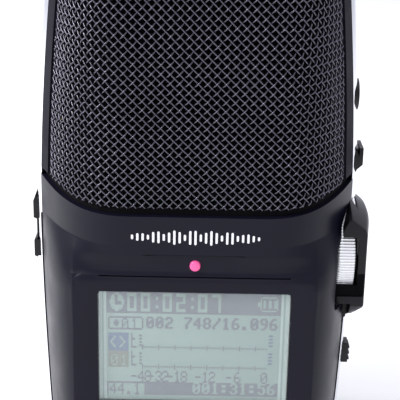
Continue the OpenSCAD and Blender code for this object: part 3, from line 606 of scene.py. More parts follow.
def side_panel(name, side, cutters, node):
    heights = spaced((1.5, 9, 0.4), (9, 100, 1.0), (100, CAP_BOTTOM - 0.1, 0.4))
    rings = [panel_ring(z, side, 0.5 * np.clip((z - 101) / 2, 0, 1) ** 2) for z in heights]
    obj = new_object(name, *loft(rings))
    subtract(obj, *cutters)
    return place(obj, "panel_silver", [node], sharp=35)


MENU_Z = centre_z("menu_button")
LEVER_Z = centre_z("play_lever_carrier")
SLIDER_Z = centre_z("power_slider")
ROCKER_Z = centre_z("volume_rocker")
LINE_Z = centre_z("line_in_jack")
PHONES_Z = centre_z("phones_jack")
REMOTE_Z = centre_z("remote_jack")
USB_Z = centre_z("usb_port")


def pill(z, half_y, half_z, x0, x1, r=0.8):
    return prism(rounded_outline(-half_y, z - half_z, half_y, z + half_z, r), "x", x0, x1)


jack_holes = [rod("x", (0, z), -BEYOND, -INSIDE, radius)
              for z, radius in ((LINE_Z, 2.9), (PHONES_Z, 2.9), (REMOTE_Z, 2.4))]
side_panel("panel_left", -1,
           [*jack_holes, pill(USB_Z, 2.25, 4.1, -BEYOND, -INSIDE, 0.5),
            pill(ROCKER_Z, 2.3, 7.4, -BEYOND, -INSIDE)],
           "left_side_panel")
# shallow round recesses about the menu button and the play lever
dishes = [rod("x", (0, z), half_width(z) + 0.25, BEYOND, 3.95, 64) for z in (MENU_Z, LEVER_Z)]
side_panel("panel_right", 1,
           [box((27.3, -6, 30.9), (BEYOND, 6, 57.2)), rod("x", (0, WHEEL_Z), 26, 28, 3.3),
            rod("x", (0, MENU_Z), INSIDE, BEYOND, 3.3), pill(LEVER_Z, 3.3, 3.8, INSIDE, BEYOND, 3.2),
            pill(SLIDER_Z, 1.9, 5.6, INSIDE, BEYOND), *dishes],
           "right_side_panel")


def seam_shade_strip(y, side, low, high):
    """Thin near-black strip in the groove between a shell and a side panel, painted shade for the
    shadow of the gap.
    """
    proud, radius = 0.06, 0.22
    rings = []
    for z in spaced((low, 9, 0.4), (9, high, 1.2)):
        x = half_width(z) + proud
        rings.append([(side * (x + radius * math.cos(a)), y + radius * math.sin(a), z)
                      for a in np.arange(8) * math.pi / 4])
    return loft(rings)


# near-black strips along the panel seams are painted shade for the dark gap line
SHADE_STRIP_Y = 4.42
for side, label, strip_top in ((-1, "left", 53.0), (1, "right", 36.6)):
    shade_strips = [seam_shade_strip(y, side, 3.0, strip_top) for y in (-SHADE_STRIP_Y, SHADE_STRIP_Y)]
    solid("seam_" + label, joined(*shade_strips), "panel_plastic", look="painted_shade_black", sharp=60)


# ---- microphone head ----

def frame_ribbon(z, x_outer, x_inner, inset, thick, steps=14):
    """Closed cross-section of a strip that follows the front between two x offsets."""
    x = np.linspace(half_width(z) - x_inner, half_width(z) - x_outer, steps)
    outer = [(a, b) for a, b in zip(x, section_y(x, z, inset))]
    back = [(a - thick * 0.85, b + thick * 0.5) for a, b in outer[::-1]]
    return outer + back


def grille_frame(name, sign, node):
    """Two-step strips at the sides, ending a little above the collar."""
    parts = []
    for side in (-1, 1):
        for x_outer, x_inner, inset, thick in ((0.0, 1.7, 0.02, 1.5), (1.62, 2.5, 0.45, 1.2)):
            rings = []
            for z in np.linspace(COLLAR + 4.2, CAP_BOTTOM - 0.15, 60):
                ring = frame_ribbon(z, x_outer, x_inner, inset, thick)
                rings.append([(side * x, min(y, -SEAM), z) for x, y in ring])
            parts.append(loft(rings))
    obj = front_or_rear(name, joined(*parts), sign)
    return place(obj, "frame_plastic", [node], sharp=38)


def grille_rails(name, sign):
    """Sunken rails between the mesh and the collar and under the cap, near-black as painted shade."""
    parts = []
    for z_mid, tilt, inset, margin in ((COLLAR + 0.55, 1, 1.0, 0.15), (CAP_BOTTOM - 0.7, 0, 0.7, 1.9)):
        rings = []
        for t in spread(121):
            ring = []
            for dz, extra in ((-1.6, 0), (0.4, 0), (0.8, 0.35), (0.8, 1.7), (-1.6, 1.7)):
                z = z_mid + dz
                x = t * (half_width(z) - margin)
                y = min(section_y(x, z, inset + extra), -SEAM - 0.3)
                ring.append((x, y, z + tilt * rim_rise(y, z)))
            rings.append(ring)
        parts.append(loft(rings))
    obj = front_or_rear(name, joined(*parts), sign)
    return place(obj, "frame_plastic", look="painted_shade_black", sharp=38)


WIRE_PITCH = 1.19
WIRE_RADIUS = 0.155
CRIMP = {1: 1.65, -1: 0.4}
GRILLE_INSET = 0.5
TABLE_MARGIN = 0.4  # the arc tables stop this far before the side


def across_table(z, inset, samples=500):
    """Arc length along the front against x at one height."""
    x = np.linspace(0, half_width(z) - inset - TABLE_MARGIN, samples)
    y = section_y(x, z, inset)
    arc = np.concatenate([[0], np.cumsum(np.hypot(np.diff(x), np.diff(y)))])
    return x, arc


GRILLE_LEVELS = np.linspace(COLLAR - 2, CAP_BOTTOM + 1, 24)
GRILLE_TABLES = [across_table(z, GRILLE_INSET) for z in GRILLE_LEVELS]


def grille_point(u, v, lift):
    """Point of the grille surface at arc length u and height v, raised by lift."""
    k = np.clip(np.searchsorted(GRILLE_LEVELS, v) - 1, 0, len(GRILLE_LEVELS) - 2)
    x = np.zeros_like(u)
    for level in np.unique(k):
        here = k == level
        t = (v[here] - GRILLE_LEVELS[level]) / (GRILLE_LEVELS[level + 1] - GRILLE_LEVELS[level])
        (xa, arc_a), (xb, arc_b) = GRILLE_TABLES[level], GRILLE_TABLES[level + 1]
        a = np.interp(np.abs(u[here]), arc_a, xa)
        b = np.interp(np.abs(u[here]), arc_b, xb)
        x[here] = a + (b - a) * t
    x = np.sign(u) * x
    y = section_y(x, v, GRILLE_INSET)
    ahead, behind = (section_y(np.abs(x) + step, v, GRILLE_INSET) for step in (0.05, -0.05))
    slope = (ahead - behind) / 0.1
    length = np.hypot(1, slope)
    nx, ny = np.sign(x) * slope / length, -1 / length
    # the lower and upper edges tuck in behind the collar and the cap
    rim = COLLAR + rim_rise(y, v)
    near_collar = np.clip((rim + 2.4 - v) / 2.4, 0, 1)
    near_cap = np.clip((v - CAP_BOTTOM + 2) / 2, 0, 1)
    tuck = 1.1 * near_collar ** 2 + 0.9 * near_cap ** 2
    return np.stack([x + nx * (lift - tuck), y + ny * (lift - tuck), v], axis=-1), rim


def wire_tube(path, radius=WIRE_RADIUS, sides=6):
    """Closed tube along a path of points."""
    tangent = np.gradient(path, axis=0)
    tangent /= np.linalg.norm(tangent, axis=1)[:, None]
    across = np.cross(tangent, np.array([0.0, -1.0, 0.0]))
    across /= np.linalg.norm(across, axis=1)[:, None]
    other = np.cross(tangent, across)
    angles = np.arange(sides) * 2 * math.pi / sides
    cosine, sine = np.cos(angles)[None, :, None], np.sin(angles)[None, :, None]
    ring = across[:, None] * cosine + other[:, None] * sine
    verts = (path[:, None] + radius * ring).reshape(-1, 3)
    n = len(path)
    i, k = np.meshgrid(np.arange(sides), np.arange(n - 1))
    j = (i + 1) % sides
    low, high = k * sides, (k + 1) * sides
    faces = np.stack([low + i, low + j, high + j, high + i], axis=-1).reshape(-1, 4).tolist()
    faces.append(list(range(sides)))
    faces.append(list(range((n - 1) * sides, n * sides)))
    return verts.tolist(), faces


def woven_grille(name, sign, node):
    """Plain weave of wires at 45 degrees that follows the curved front."""
    reach = GRILLE_TABLES[0][1][-1] + 2
    parts = []
    diagonal = math.sqrt(0.5)
    middle = (COLLAR + CAP_BOTTOM) / 2
    count = int((reach + 24) / WIRE_PITCH / diagonal / 1.4) + 8
    run_half = 64  # longer than half the grille's diagonal
    for family in (1, -1):
        for index in range(-count, count + 1):
            t = np.arange(-run_half, run_half, WIRE_PITCH / 4)
            u = diagonal * (t - family * index * WIRE_PITCH)
            v = middle + diagonal * (family * t + index * WIRE_PITCH)
            wave = np.cos(math.pi * (t / WIRE_PITCH + index)) * family
            inside = (v > COLLAR - 0.5) & (v < CAP_BOTTOM - 0.4)
            if inside.sum() < 4:
                continue
            u, v, wave = u[inside], v[inside], wave[inside]
            point, rim = grille_point(u, v, wave * WIRE_RADIUS * CRIMP[family])
            keep = (np.abs(point[:, 0]) < half_width(v) - 2.2) & (v > rim + 1.2)
            runs = np.split(np.arange(len(keep)), np.where(np.diff(keep.astype(int)) != 0)[0] + 1)
            for run in runs:
                if keep[run[0]] and len(run) > 3:
                    parts.append(wire_tube(point[run]))
    obj = front_or_rear(name, joined(*parts), sign)
    return place(obj, "mesh_wire", [node], sharp=80)


def acoustic_cloth(name, sign, node):
    """Thin black cloth stretched behind the grille; its weave is in the material."""
    z = np.linspace(COLLAR + 3.7, CAP_BOTTOM - 1.6, 60)[:, None]
    t = spread(120)[None, :]
    inset, thick, margin = 3.35, 0.4, 4.2
    x = t * (half_width(z) - margin)
    rows = np.broadcast_to(z, x.shape)
    last = x.shape[0] - 1
    rings = []
    for k in range(last + 1):
        layers = []
        for depth in (inset, inset + thick):
            y = section_y(x[k], rows[k], depth)
            lifted = rows[k] + rim_rise(y, rows[k]) * (1 - k / last) ** 2
            layers.append(list(zip(x[k], y, lifted)))
        rings.append(layers[0] + layers[1][::-1])
    obj = front_or_rear(name, loft(rings, strip_caps=True), sign)
    place(obj, "cloth", [node], sharp=60)
    return obj


for sign, label in ((-1, "front"), (1, "rear")):
    grille_frame("grille_frame_" + label, sign, label + "_grille_frame")
    grille_rails("grille_rails_" + label, sign)
    woven_grille("grille_" + label, sign, label + "_grille")
    acoustic_cloth("cloth_" + label, sign, label + "_cloth")


# ---- top cap and mode dial ----

def cap_shape():
    """Cap that rises from the head's outline, its edge an elliptic round."""
    round_in, round_up = 8.6, 5.6
    rings = []
    t = spread(81)
    for angle in np.radians(np.linspace(0, 87.3, 22)):
        inset, height = round_in * (1 - math.cos(angle)), round_up * math.sin(angle)
        x = t * (half_width(CAP_BOTTOM) - inset)
        y = section_y(x, CAP_BOTTOM, inset)
        wide = x * (1.035 - inset * 0.002)
        ring = [(a, b, CAP_BOTTOM + height) for a, b in zip(wide, y)]
        rings.append(ring + [(a, -b, c) for a, b, c in ring[::-1]])
    return loft(rings, strip_caps=True)


DIAL_Z = node_box("mode_dial")[0][2]
DIAL_R, _, DIAL_TOP = node_box("mode_dial")[1]

cap = new_object("cap_top", *cap_shape())
subtract(cap, rod("z", (0, 0), DIAL_Z - 0.3, DIAL_Z + 8, DIAL_R + 0.4, 128),
         rod("z", (0, 0), CAP_BOTTOM - 6, DIAL_Z + 8, 4.4, 64))
place(cap, "panel_plastic", ["top_cap"], sharp=35)


def knurled(r, angle):
    """Radius of the dial with the notches of its rim."""
    notches, notch_depth = 72, 0.38
    if r < DIAL_R - 0.8:
        return r
    return r - notch_depth * (0.5 - 0.5 * math.cos(notches * angle)) ** 0.7


# top edge and dish as (inward, down) from the dial's radius and top
dial_edge = [(0, 2.0), (0.2, 1.3), (0.75, 0.75), (1.3, 0.35), (2.0, 0.08), (2.6, 0), (3.4, 0),
             (3.9, 0.12), (4.3, 0.5), (5.2, 0.62)]
dial_profile = [(3.4, DIAL_Z + 0.2), (3.4, DIAL_Z), (DIAL_R - 1.6, DIAL_Z),
                (DIAL_R - 0.5, DIAL_Z + 0.35), (DIAL_R, DIAL_Z + 0.9)]
dial_profile += [(DIAL_R - inward, DIAL_TOP - down) for inward, down in dial_edge]
dial_profile += [(3, DIAL_TOP - 0.7), (0, DIAL_TOP - 0.7)]
dial = new_object("dial_mode", *turned(dial_profile, "z", (0, 0), 576, knurled))
groove_outline = rounded_outline(-0.5, -DIAL_R + 1.3, 0.5, -DIAL_R + 4.0, 0.45)
subtract(dial, prism(groove_outline, "z", DIAL_TOP - 0.4, DIAL_TOP + 1))
place(dial, "dial_plastic", ["mode_dial"], body="mode_dial", sharp=45)
pointer_outline = rounded_outline(-0.42, -DIAL_R + 1.38, 0.42, -DIAL_R + 3.92, 0.4)
solid("dial_pointer", prism(pointer_outline, "z", DIAL_TOP - 0.45, DIAL_TOP - 0.12),
      "dial_plastic", body="mode_dial", look="white_paint")

# position dots round the dial, on the shoulder of the cap
DOT_STEP, DOT_CIRCLE = 26, DIAL_R + 1.5
dot_profile = [(r, CAP_BOTTOM + up) for r, up in ((0.42, 4), (0.42, 5.45), (0.3, 5.55), (0, 5.58))]
dots = []
for step in range(-2, 3):
    angle = math.radians(-90 + step * DOT_STEP)
    centre = (DOT_CIRCLE * math.cos(angle), DOT_CIRCLE * math.sin(angle))
    dots.append(turned(dot_profile, "z", centre, 20))
solid("cap_dots", joined(*dots), "panel_plastic", look="white_paint")


# ---- display ----

window_outline = rounded_outline(window_low[0], window_low[2], window_high[0], window_high[2], 0.7)
window = new_object("display_window", *prism(window_outline, "y", window_low[1], window_high[1]))
round_edges(window, 0.15, 2, 50)
place(window, "window_glass", ["lcd_window"], sharp=40)

LCD_FRONT = window_high[1] + 0.15
LCD_HALF = window_high[0] - 0.1
LCD_LOW, LCD_TOP = window_low[2] + 0.1, window_high[2] - 0.1
LCD_THICK = 2.2
panel = new_object("display_panel", *box((-LCD_HALF, LCD_FRONT, LCD_LOW),
                                         (LCD_HALF, LCD_FRONT + LCD_THICK, LCD_TOP)))
round_edges(panel, 0.1)
place(panel, "lcd_panel", ["lcd_module"], sharp=50)
# paler strips at both sides of the dots
edge_strips = []
for x0, x1 in ((-LCD_HALF, -17.75), (-17.45, -16.95), (16.75, 17.2), (17.6, LCD_HALF)):
    edge_strips.append(box((x0, LCD_FRONT - 0.04, LCD_LOW + 0.1), (x1, LCD_FRONT + 0.3, LCD_TOP - 0.1)))
solid("display_margins", joined(*edge_strips), "lcd_panel", look="lcd_edge")

LCD_COLS, LCD_ROWS = 128, 64
dots_left, dots_right = -16.85, 16.65
dots_top, dots_bottom = LCD_TOP - 0.15, LCD_LOW + 0.75
GLYPHS = {
    "0": "01110 10001 10011 10101 11001 10001 01110", "1": "00100 01100 00100 00100 00100 00100 01110",
    "2": "01110 10001 00001 00110 01000 10000 11111", "3": "01110 10001 00001 00110 00001 10001 01110",
    "4": "00010 00110 01010 10010 11111 00010 00010", "5": "11111 10000 11110 00001 00001 10001 01110",
    "6": "00110 01000 10000 11110 10001 10001 01110", "7": "11111 00001 00010 00100 01000 01000 01000",
    "8": "01110 10001 10001 01110 10001 10001 01110", "9": "01110 10001 10001 01111 00001 00010 01100",
    "-": "00000 00000 00000 11110 00000 00000 00000", ".": "00000 00000 00000 00000 00000 01100 01100",
    "/": "00001 00001 00010 00100 01000 10000 10000", ":": "00000 01100 01100 00000 01100 01100 00000",
    "<": "00011 00110 01100 11000 01100 00110 00011", ">": "11000 01100 00110 00011 00110 01100 11000",
}
SEGMENTS = {"0": "abcdef", "2": "abged", "7": "abc"}
BAR, BLUE, TAN = 1, 2, 3


def draw_display():
    """Dot pattern of the display: timer, file row, two scales, numbers and footer."""
    dot = np.zeros((LCD_ROWS, LCD_COLS), int)

    def fill(x0, y0, x1, y1, value):
        dot[y0:y1, x0:x1] = value

    def outline(x0, y0, x1, y1, value):
        fill(x0 + 1, y0, x1 - 1, y0 + 1, value)
        fill(x0 + 1, y1 - 1, x1 - 1, y1, value)
        fill(x0, y0 + 1, x0 + 1, y1 - 1, value)
        fill(x1 - 1, y0 + 1, x1, y1 - 1, value)

    def text(x, y, line, value, pitch=7, bold=False, keep=7):
        for character in line:
            if character != " ":
                for r, row in enumerate(GLYPHS[character].split()[:keep]):
                    for c, on in enumerate(row):
                        if on == "1":
                            fill(x + c, y + r, x + c + 1 + bold, y + r + 1, value)
            x += pitch

    def tall_digit(x, y, character):
        bars = {"a": (0, 0, 7, 2), "g": (0, 5, 7, 6), "d": (0, 9, 7, 11), "f": (0, 0, 2, 6),
                "b": (5, 0, 7, 6), "e": (0, 5, 2, 11), "c": (5, 5, 7, 11)}
        for segment in SEGMENTS[character]:
            x0, y0, x1, y1 = bars[segment]
            fill(x + x0, y + y0, x + x1, y + y1, 0)

    # header band with a clock, the running time and the battery in clear dots
    fill(0, 0, LCD_COLS, 13, BAR)
    for r in range(-5, 6):
        for c in range(-5, 6):
            if r * r + c * c < 28:
                dot[6 + r, 7 + c] = 0
    fill(6, 2, 8, 7, BAR)
    fill(6, 6, 11, 8, BAR)
    x = 15
    for character in "00:02:07":
        if character == ":":
            fill(x + 1, 3, x + 3, 5, 0)
            fill(x + 1, 8, x + 3, 10, 0)
            x += 6
        else:
            tall_digit(x, 1, character)
            x += 10
    outline(113, 2, 126, 11, 0)
    fill(111, 5, 113, 8, 0)
    for k in range(3):
        fill(115 + k * 4, 4, 117 + k * 4, 9, 0)
    # record mark and the number of the file
    outline(1, 15, 27, 23, BAR)
    for r, wide in enumerate((1, 2, 2, 1)):
        fill(7 - wide, 17 + r, 7 + wide, 18 + r, BAR)
    text(11, 16, "01", BAR, keep=6)
    text(29, 15, "002 748/16.096", BAR, bold=True)
    # two labelled scales
    fill(1, 25, 16, 36, BLUE)
    fill(1, 36, 16, 46, TAN)
    text(2, 27, "<>", 0)
    text(3, 38, "01", 0)
    for y in (25, 36):
        fill(18, y, 19, y + 9, BAR)
        fill(19, y + 3, 21, y + 4, BAR)
        fill(19, y + 8, 22, y + 9, BAR)
        for k in range(4):
            fill(24, y + 1 + 2 * k, 26, y + 2 + 2 * k, BAR)
            fill(120, y + 2 * k, 123, y + 1 + 2 * k, BLUE)
    for y in (33, 45):
        for c in range(26, 119, 2):
            fill(c, y, c + 1, y + 1, BAR)
        for c in range(26, 119, 12):
            fill(c, y - 1, c + 1, y + 2, BAR)
    for x, line in ((18, "-48"), (31, "-32"), (45, "-18"), (66, "-12"), (89, "-6"), (115, "0")):
        text(x, 48, line, BAR, 5 if len(line) == 3 else 6)
    # footer band with the clear boxes of the format and the time left
    fill(0, 55, LCD_COLS, 63, BAR)
    fill(1, 56, 28, 63, 0)
    text(2, 56, "44.1", BAR, 6)
    text(64, 55, "001:31:56", 0, bold=True)
    return dot


def display_ink(name, dot, value, look):
    """Runs of switched-on dots as thin raised bars."""
    step_x = (dots_right - dots_left) / LCD_COLS
    step_z = (dots_top - dots_bottom) / LCD_ROWS
    bars = []
    for row in range(LCD_ROWS):
        column = 0
        while column < LCD_COLS:
            start = column
            while column < LCD_COLS and dot[row, column] == value:
                column += 1
            if column > start:
                top = dots_top - row * step_z
                bars.append(box((dots_left + start * step_x, LCD_FRONT - 0.06, top - step_z * 0.97),
                                (dots_left + column * step_x - 0.01, LCD_FRONT + 0.02, top)))
            column += 1
    return solid(name, joined(*bars), "lcd_panel", look=look)


display_dots = draw_display()
for ink, suffix in ((BAR, ""), (BLUE, "_blue"), (TAN, "_tan")):
    display_ink("display_ink" + suffix, display_dots, ink, "lcd_ink" + suffix)

# ---- lamp ----
lamp_front = node_box("led_lens")[0][1]
lamp_profile = [(r, lamp_front + back) for r, back in
                ((1.02, 3), (1.02, 0.25), (0.9, 0.06), (0.6, -0.02), (0, -0.05))]
solid("lamp", turned(lamp_profile, "y", (0, LAMP_Z), 40), "lamp_lens", ["led_lens"], sharp=60)


# ---- emblem: a row of bars like a sound wave ----
def emblem():
    """Bars of changing height that stand just proud of the shell."""
    middle_z, half, count = 54.35, 11.9, 25
    bars = []
    for k in range(count):
        x = -half + 2 * half * k / (count - 1)
        swell = math.sin(math.pi * (k + 0.5) / count) ** 0.6
        tall = 0.32 + 1.2 * swell * abs(math.sin(0.9 * k + 0.6)) ** 0.8
        outline = rounded_outline(x - 0.22, middle_z - tall, x + 0.22, middle_z + tall, 0.21, 4)
        bar, faces = prism(outline, "y", -0.07, 0.3)
        bars.append(([(p[0], float(front_face(np.array(x), p[2])) + p[1], p[2]) for p in bar], faces))
    return joined(*bars)


solid("emblem_bars", emblem(), "shell_plastic", look="white_paint")


# ---- record button ----

record_front = record_low[1]
ring_low, ring_high = node_box("record_button_ring")
RING_R = (ring_high[0] - ring_low[0]) / 2
ring_bore, ring_front, ring_back = RECORD_R + 0.28, ring_low[1], ring_high[1]
ring_profile = [(ring_bore, ring_back), (RING_R, ring_back), (RING_R, ring_front + 0.1),
                (RING_R - 0.12, ring_front - 0.12), (RING_R - 0.4, ring_front - 0.18),
                (RECORD_R + 0.4, ring_front + 0.05), (ring_bore, ring_front + 0.3)]
solid("record_ring", turned_ring(ring_profile, "y", (0, RECORD_Z), 128),
      "ring_metal", ["record_button_ring"], sharp=40)

# rim as (inward, back), then the shallow dish
button_rim = [(0.6, 3.4), (0, 3.2), (0, 0.5), (0.15, 0.16), (0.5, 0), (0.9, 0.04)]
button_profile = [(RECORD_R - inward, record_front + back) for inward, back in button_rim]
button_profile += [(RECORD_R * k / 10, record_front + 0.12 + 0.5 * (1 - (k / 8.6) ** 2))
                   for k in range(8, 0, -1)]
button_profile.append((0, record_front + 0.62))
solid("record_key", turned(button_profile, "y", (0, RECORD_Z), 96),
      "button_plastic", ["record_button"], body="record_button", sharp=50)
mark_profile = [(1.5, record_front + 1.2), (1.5, record_front + 0.56), (1.35, record_front + 0.5),
                (0, record_front + 0.46)]
solid("record_mark", turned(mark_profile, "y", (0, RECORD_Z), 40),
      "button_plastic", body="record_button", look="lamp_lens")


# ---- gain wheel and its guard ----

WHEEL_RIBS = 112


def ribbed(r, angle):
    """Radius of the wheel with the grooves between its ribs."""
    groove_depth = 0.26
    if r < WHEEL_R - 0.35:
        return r
    return r - groove_depth * (1 - abs(math.cos(WHEEL_RIBS / 2 * angle)) ** 0.55)


# both edges as (inward from the radius, inward from the face)
inner_edge = [(2.1, 1.6), (1.7, 0), (0.5, 0), (0.12, 0.12), (0, 0.4)]
outer_edge = [(0, 0.4), (0.12, 0.12), (0.5, 0), (2.4, 0), (3.2, 0.3)]
wheel_profile = [(3.2, wheel_in + 1.2), (3.2, wheel_in), (4.2, wheel_in), (4.6, wheel_in + 1.6)]
wheel_profile += [(WHEEL_R - a, wheel_in + b) for a, b in inner_edge]
wheel_profile += [(WHEEL_R - a, wheel_out - b) for a, b in outer_edge]
wheel_profile += [(2, wheel_out - 0.35), (0, wheel_out - 0.35)]
solid("wheel_gain", turned(wheel_profile, "x", (0, WHEEL_Z), WHEEL_RIBS * 8, ribbed),
      "wheel_metal", ["gain_wheel"], body="gain_wheel", sharp=50)

GUARD_X, GUARD_HALF = node_box("gain_guard")[1][:2]
GUARD_BOW = 52.9
GUARD_DISC = 14.4
HOOD_TOP = 57.0
HOOD_LEFT = 28.9
HOOD_BOTTOM = 51.4
GUARD_WALL = 30.95  # inside of the outer wall
LIP_TOP = 38.9


def guard_ring(y):
    """Outline of hood and outer wall at one depth, its roof slanted, its outside bowed."""
    reach = math.sqrt(GUARD_DISC ** 2 - y * y)
    outside = GUARD_X - y * y / (2 * GUARD_BOW)

    def roof(x):
        return min(57.7 - 0.8 * (x - 29.9) - 2.1 * (y / GUARD_HALF) ** 2, HOOD_TOP, WHEEL_Z + reach)

    def belly(x):
        return max(31.4 + 0.67 * (x - 30.8) + 3.6 * (y / GUARD_HALF) ** 2, WHEEL_Z - reach)

    lower = [(x, belly(x)) for x in np.linspace(GUARD_WALL, outside - 0.2, 5)]
    upper = [(x, roof(x)) for x in np.linspace(outside - 0.35, HOOD_LEFT + 1.5, 9)]
    corner_out = [(outside, belly(outside) + 0.25), (outside, roof(outside) - 0.6)]
    hood = [(HOOD_LEFT + 0.9, min(55.4, WHEEL_Z + reach - 0.3)), (HOOD_LEFT, 52.8),
            (HOOD_LEFT, HOOD_BOTTOM), (GUARD_WALL, HOOD_BOTTOM)]
    return [(x, y, z) for x, z in lower + corner_out + upper + hood]


guard = new_object("guard", *loft([guard_ring(y) for y in np.linspace(-GUARD_HALF, GUARD_HALF, 29)]))
foot_outline = [(29.4, 31.35), (30.2, 31.35), (31.9, 34.4), (31.9, 36.6), (29.4, 36.6)]
unite(guard, prism(foot_outline, "y", -5.7, 5.7),
      box((28.2, -GUARD_HALF, 37.3), (32.4, GUARD_HALF, LIP_TOP)))
subtract(guard, rod("x", (0, WHEEL_Z), 20, wheel_out + 0.3, WHEEL_R + WHEEL_GAP, 160),
         box((20, -GUARD_HALF + 0.75, 37), (wheel_out + 0.3, GUARD_HALF - 0.75, 41)),
         box((20, -GUARD_HALF - 1, LIP_TOP), (wheel_out + 0.25, GUARD_HALF + 1, HOOD_BOTTOM)),
         box((31, -GUARD_HALF - 1, LIP_TOP), (BEYOND, -GUARD_HALF + 1, 43.8)),
         rod("x", (0, WHEEL_Z), GUARD_X - 0.6, GUARD_X + 1, 4, 64))
round_edges(guard, 0.16, 3, 35)
place(guard, "guard_plastic", ["gain_guard"], sharp=30)

# lip under the wheel, at the front edge of the guard, near-black as painted shade of the hollow below
# the wheel
sill = [box((27.9, -GUARD_HALF + 0.25, 38.7), (32.1, -GUARD_HALF + 1.0, 41.2)),
        box((32.15, -GUARD_HALF + 0.25, 38.95), (33.45, -GUARD_HALF + 0.95, 43.75))]
solid("wheel_sill", joined(*sill), "guard_plastic", look="painted_shade_black")


# ---- side controls and sockets ----

def refined(name, node, width, segments=2, body=BODY):
    """Copy of a CAD node's mesh with its edges rounded, standing for the node."""
    source = frame["nodes"][node]
    mesh = source.data.copy()
    work = bmesh.new()
    work.from_mesh(mesh)
    bmesh.ops.remove_doubles(work, verts=work.verts, dist=1e-6)
    bmesh.ops.dissolve_limit(work, angle_limit=math.radians(1.0), verts=work.verts, edges=work.edges)
    work.to_mesh(mesh)
    work.free()
    obj = round_edges(linked(name, mesh), width, segments, 35)
    return place(obj, SLOT_OF[node], [node], body)


menu_base, menu_top = (end[0] for end in node_box("menu_button"))
MENU_R, MENU_ROUND = 3.1, 0.2
menu_profile = [(4.0, menu_base), (4.0, menu_base + 0.8), (MENU_R, menu_base + 0.85),
                (MENU_R, menu_top - MENU_ROUND)]
menu_profile += [(MENU_R * math.cos(a), menu_top - MENU_ROUND + MENU_ROUND * math.sin(a))
                 for a in np.linspace(0.15, 1.45, 8)]
menu_profile.append((0, menu_top))
solid("key_menu", turned(menu_profile, "x", (0, MENU_Z), 64),
      "button_plastic", ["menu_button"], body="menu_button", sharp=50)


def play_lever():
    """Stem out of the panel with a thumb pad standing up from its end."""
    carrier_low, carrier_high = node_box("play_lever_carrier")
    axis_x = (carrier_low[0] + carrier_high[0]) / 2 + 1.5
    out = node_box("play_lever")[1][0]
    pad_in = out - 0.8
    profile = [(axis_x, -2.6), (out - 1.45, -2.6), (out - 1.1, -1.9), (out, -0.9), (out, 2.6),
               (pad_in, 2.6), (pad_in, 0.8), (pad_in - 0.25, 0.8), (pad_in - 0.6, 2.5),
               (pad_in - 1.1, 1.2), (axis_x, 1.2)]
    lever = new_object("lever_play", *prism([(x, LEVER_Z + z) for x, z in profile], "y", -2.8, 2.8))
    return round_edges(lever, 0.1, 2, 25)


place(play_lever(), "button_plastic", ["play_lever"], body="play_lever", sharp=40)
refined("rocker_volume", "volume_rocker", 0.16, 3, "volume_rocker")
refined("slider_power", "power_slider", 0.1, 2, "power_slider")
refined("usb_socket", "usb_port", 0.08)
refined("base_pad", "base_plate", 0.25, 3)
refined("card_cover", "sd_cover", 0.1, 2, "sd_cover")


def socket_rim(name, node, z, bore, rim, look=None):
    """Rounded bushing round a jack's mouth on the left side."""
    outer, barrel = 0.15 - half_width(z) - PANEL_CROWN, 3.2
    profile = [(bore, outer + 8.6), (bore, outer + 0.5), (bore + 0.12, outer + 0.12),
               (bore + 0.35, outer), (bore + rim - 0.2, outer), (bore + rim, outer + 0.25),
               (bore + rim, outer + 3.6), (barrel, outer + 3.62), (barrel, outer + 8.6)]
    shape = turned_ring(profile, "x", (0, z), 64)
    plug = rod("x", (0, z), outer + 8.5, outer + 9.4, barrel, 40)
    return solid(name, joined(shape, plug), SLOT_OF[node], [node], look=look, sharp=45)


socket_rim("socket_line", "line_in_jack", LINE_Z, 1.8, 0.85)
socket_rim("socket_phones", "phones_jack", PHONES_Z, 1.8, 0.85, "bushing_grey")
socket_rim("socket_remote", "remote_jack", REMOTE_Z, 1.3, 0.85, "bushing_grey")


# ---- battery door ----

def door_shape():
    """Curved door that follows the rear, with finger grooves near its top."""
    stretches = ((-DOOR_HALF, -5.2, 20), (-5, 5, 12), (5.2, DOOR_HALF, 20))
    x = np.concatenate([np.linspace(*stretch) for stretch in stretches])
    heights = spaced((DOOR_FOOT, 43.5, 1.0), (43.5, 49.8, 0.08), (49.8, DOOR_TOP, 0.2))
    rings = []
    for z in heights:
        phase = (z - 44) / 1.2
        groove = 0.0
        if 0 <= phase < 5:
            groove = 0.42 * smooth(1 - abs(phase % 1 - 0.25) / 0.25)
        outer = -section_y(x, z, 0.1) - groove * smooth((5.1 - np.abs(x)) / 0.2 + 0.5)
        inner = -section_y(x, z, 1.6)
        ring = [(a, b, z) for a, b in zip(x, outer)]
        rings.append(ring + [(a, b, z) for a, b in zip(x[::-1], inner[::-1])])
    return loft(rings, strip_caps=True)


door = new_object("door_battery", *door_shape())
unite(door, rod("x", DOOR_AXIS, -DOOR_HALF, DOOR_HALF, 1.45, 40))
subtract(door, rod("x", DOOR_AXIS, -DOOR_HALF - 2, DOOR_HALF + 2, 0.55, 32))
place(door, "shell_plastic", ["battery_door"], body="battery_door", sharp=40)


# ---- stage, light and camera ----

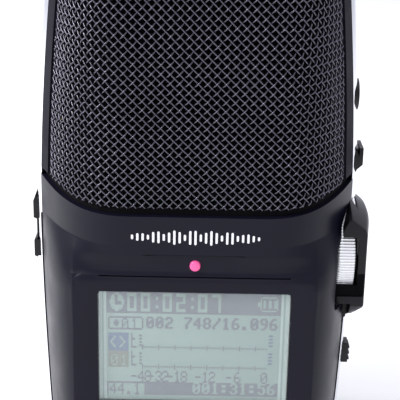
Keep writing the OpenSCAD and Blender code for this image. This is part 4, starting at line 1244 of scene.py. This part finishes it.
FLOOR_HALF, FLOOR_Z = 3000, -0.02
corners = [(x * FLOOR_HALF, y * FLOOR_HALF, FLOOR_Z) for x, y in ((-1, -1), (1, -1), (1, 1), (-1, 1))]
floor_mesh = new_object("studio_floor", corners, [(0, 1, 2, 3)])
floor_mesh.data.materials.append(MATERIALS["floor"])

world = bpy.data.worlds.new("studio")
world.use_nodes = True
set_inputs(world.node_tree.nodes["Background"], Color=(0.93, 0.94, 1.07, 1), Strength=0.72)
bpy.context.scene.world = world


def soft_light(name, place_mm, target_mm, size_mm, power):
    """Rectangular lamp that faces its target."""
    light = bpy.data.lights.new(name, "AREA")
    light.shape = "RECTANGLE"
    light.size, light.size_y = size_mm[0] * MM, size_mm[1] * MM
    light.energy = power
    lamp_object = linked(name, light)
    lamp_object.location = Vector(place_mm) * MM
    direction = Vector(target_mm) * MM - lamp_object.location
    lamp_object.rotation_euler = direction.to_track_quat("-Z", "Y").to_euler()


soft_light("key_left", (-420, -260, 520), (0, 0, 60), (170, 170), 2.6)
soft_light("top_back", (60, 420, 620), (0, 0, 60), (500, 300), 1.8)
soft_light("left_floor", (-420, -40, 330), (-330, -40, 0), (300, 400), 1.7)
soft_light("right_floor", (420, 80, 330), (330, 80, 0), (260, 360), 0.45)


def add_camera():
    """Camera at the photograph's angle: raised, slightly rolled, long lens."""
    raised, roll = math.radians(19.5), math.radians(1.1)
    distance, target = 249.5, Vector((0.7, 0.0, 0.4805 * float(DIAL_TOP)))
    forward = Vector((0, math.cos(raised), -math.sin(raised)))
    flat_right, flat_up = Vector((1, 0, 0)), Vector((0, math.sin(raised), math.cos(raised)))
    right = math.cos(roll) * flat_right + math.sin(roll) * flat_up
    up = math.cos(roll) * flat_up - math.sin(roll) * flat_right
    data = bpy.data.cameras.new("camera")
    data.sensor_width = 36.0
    data.lens = 110.7
    data.clip_start = 0.01
    camera = linked("camera", data)
    turn = Matrix((right, up, -forward)).transposed().to_4x4()
    camera.matrix_world = Matrix.Translation((target - distance * forward) * MM) @ turn
    bpy.context.scene.camera = camera


add_camera()
bpy.context.scene.view_settings.view_transform = "Standard"
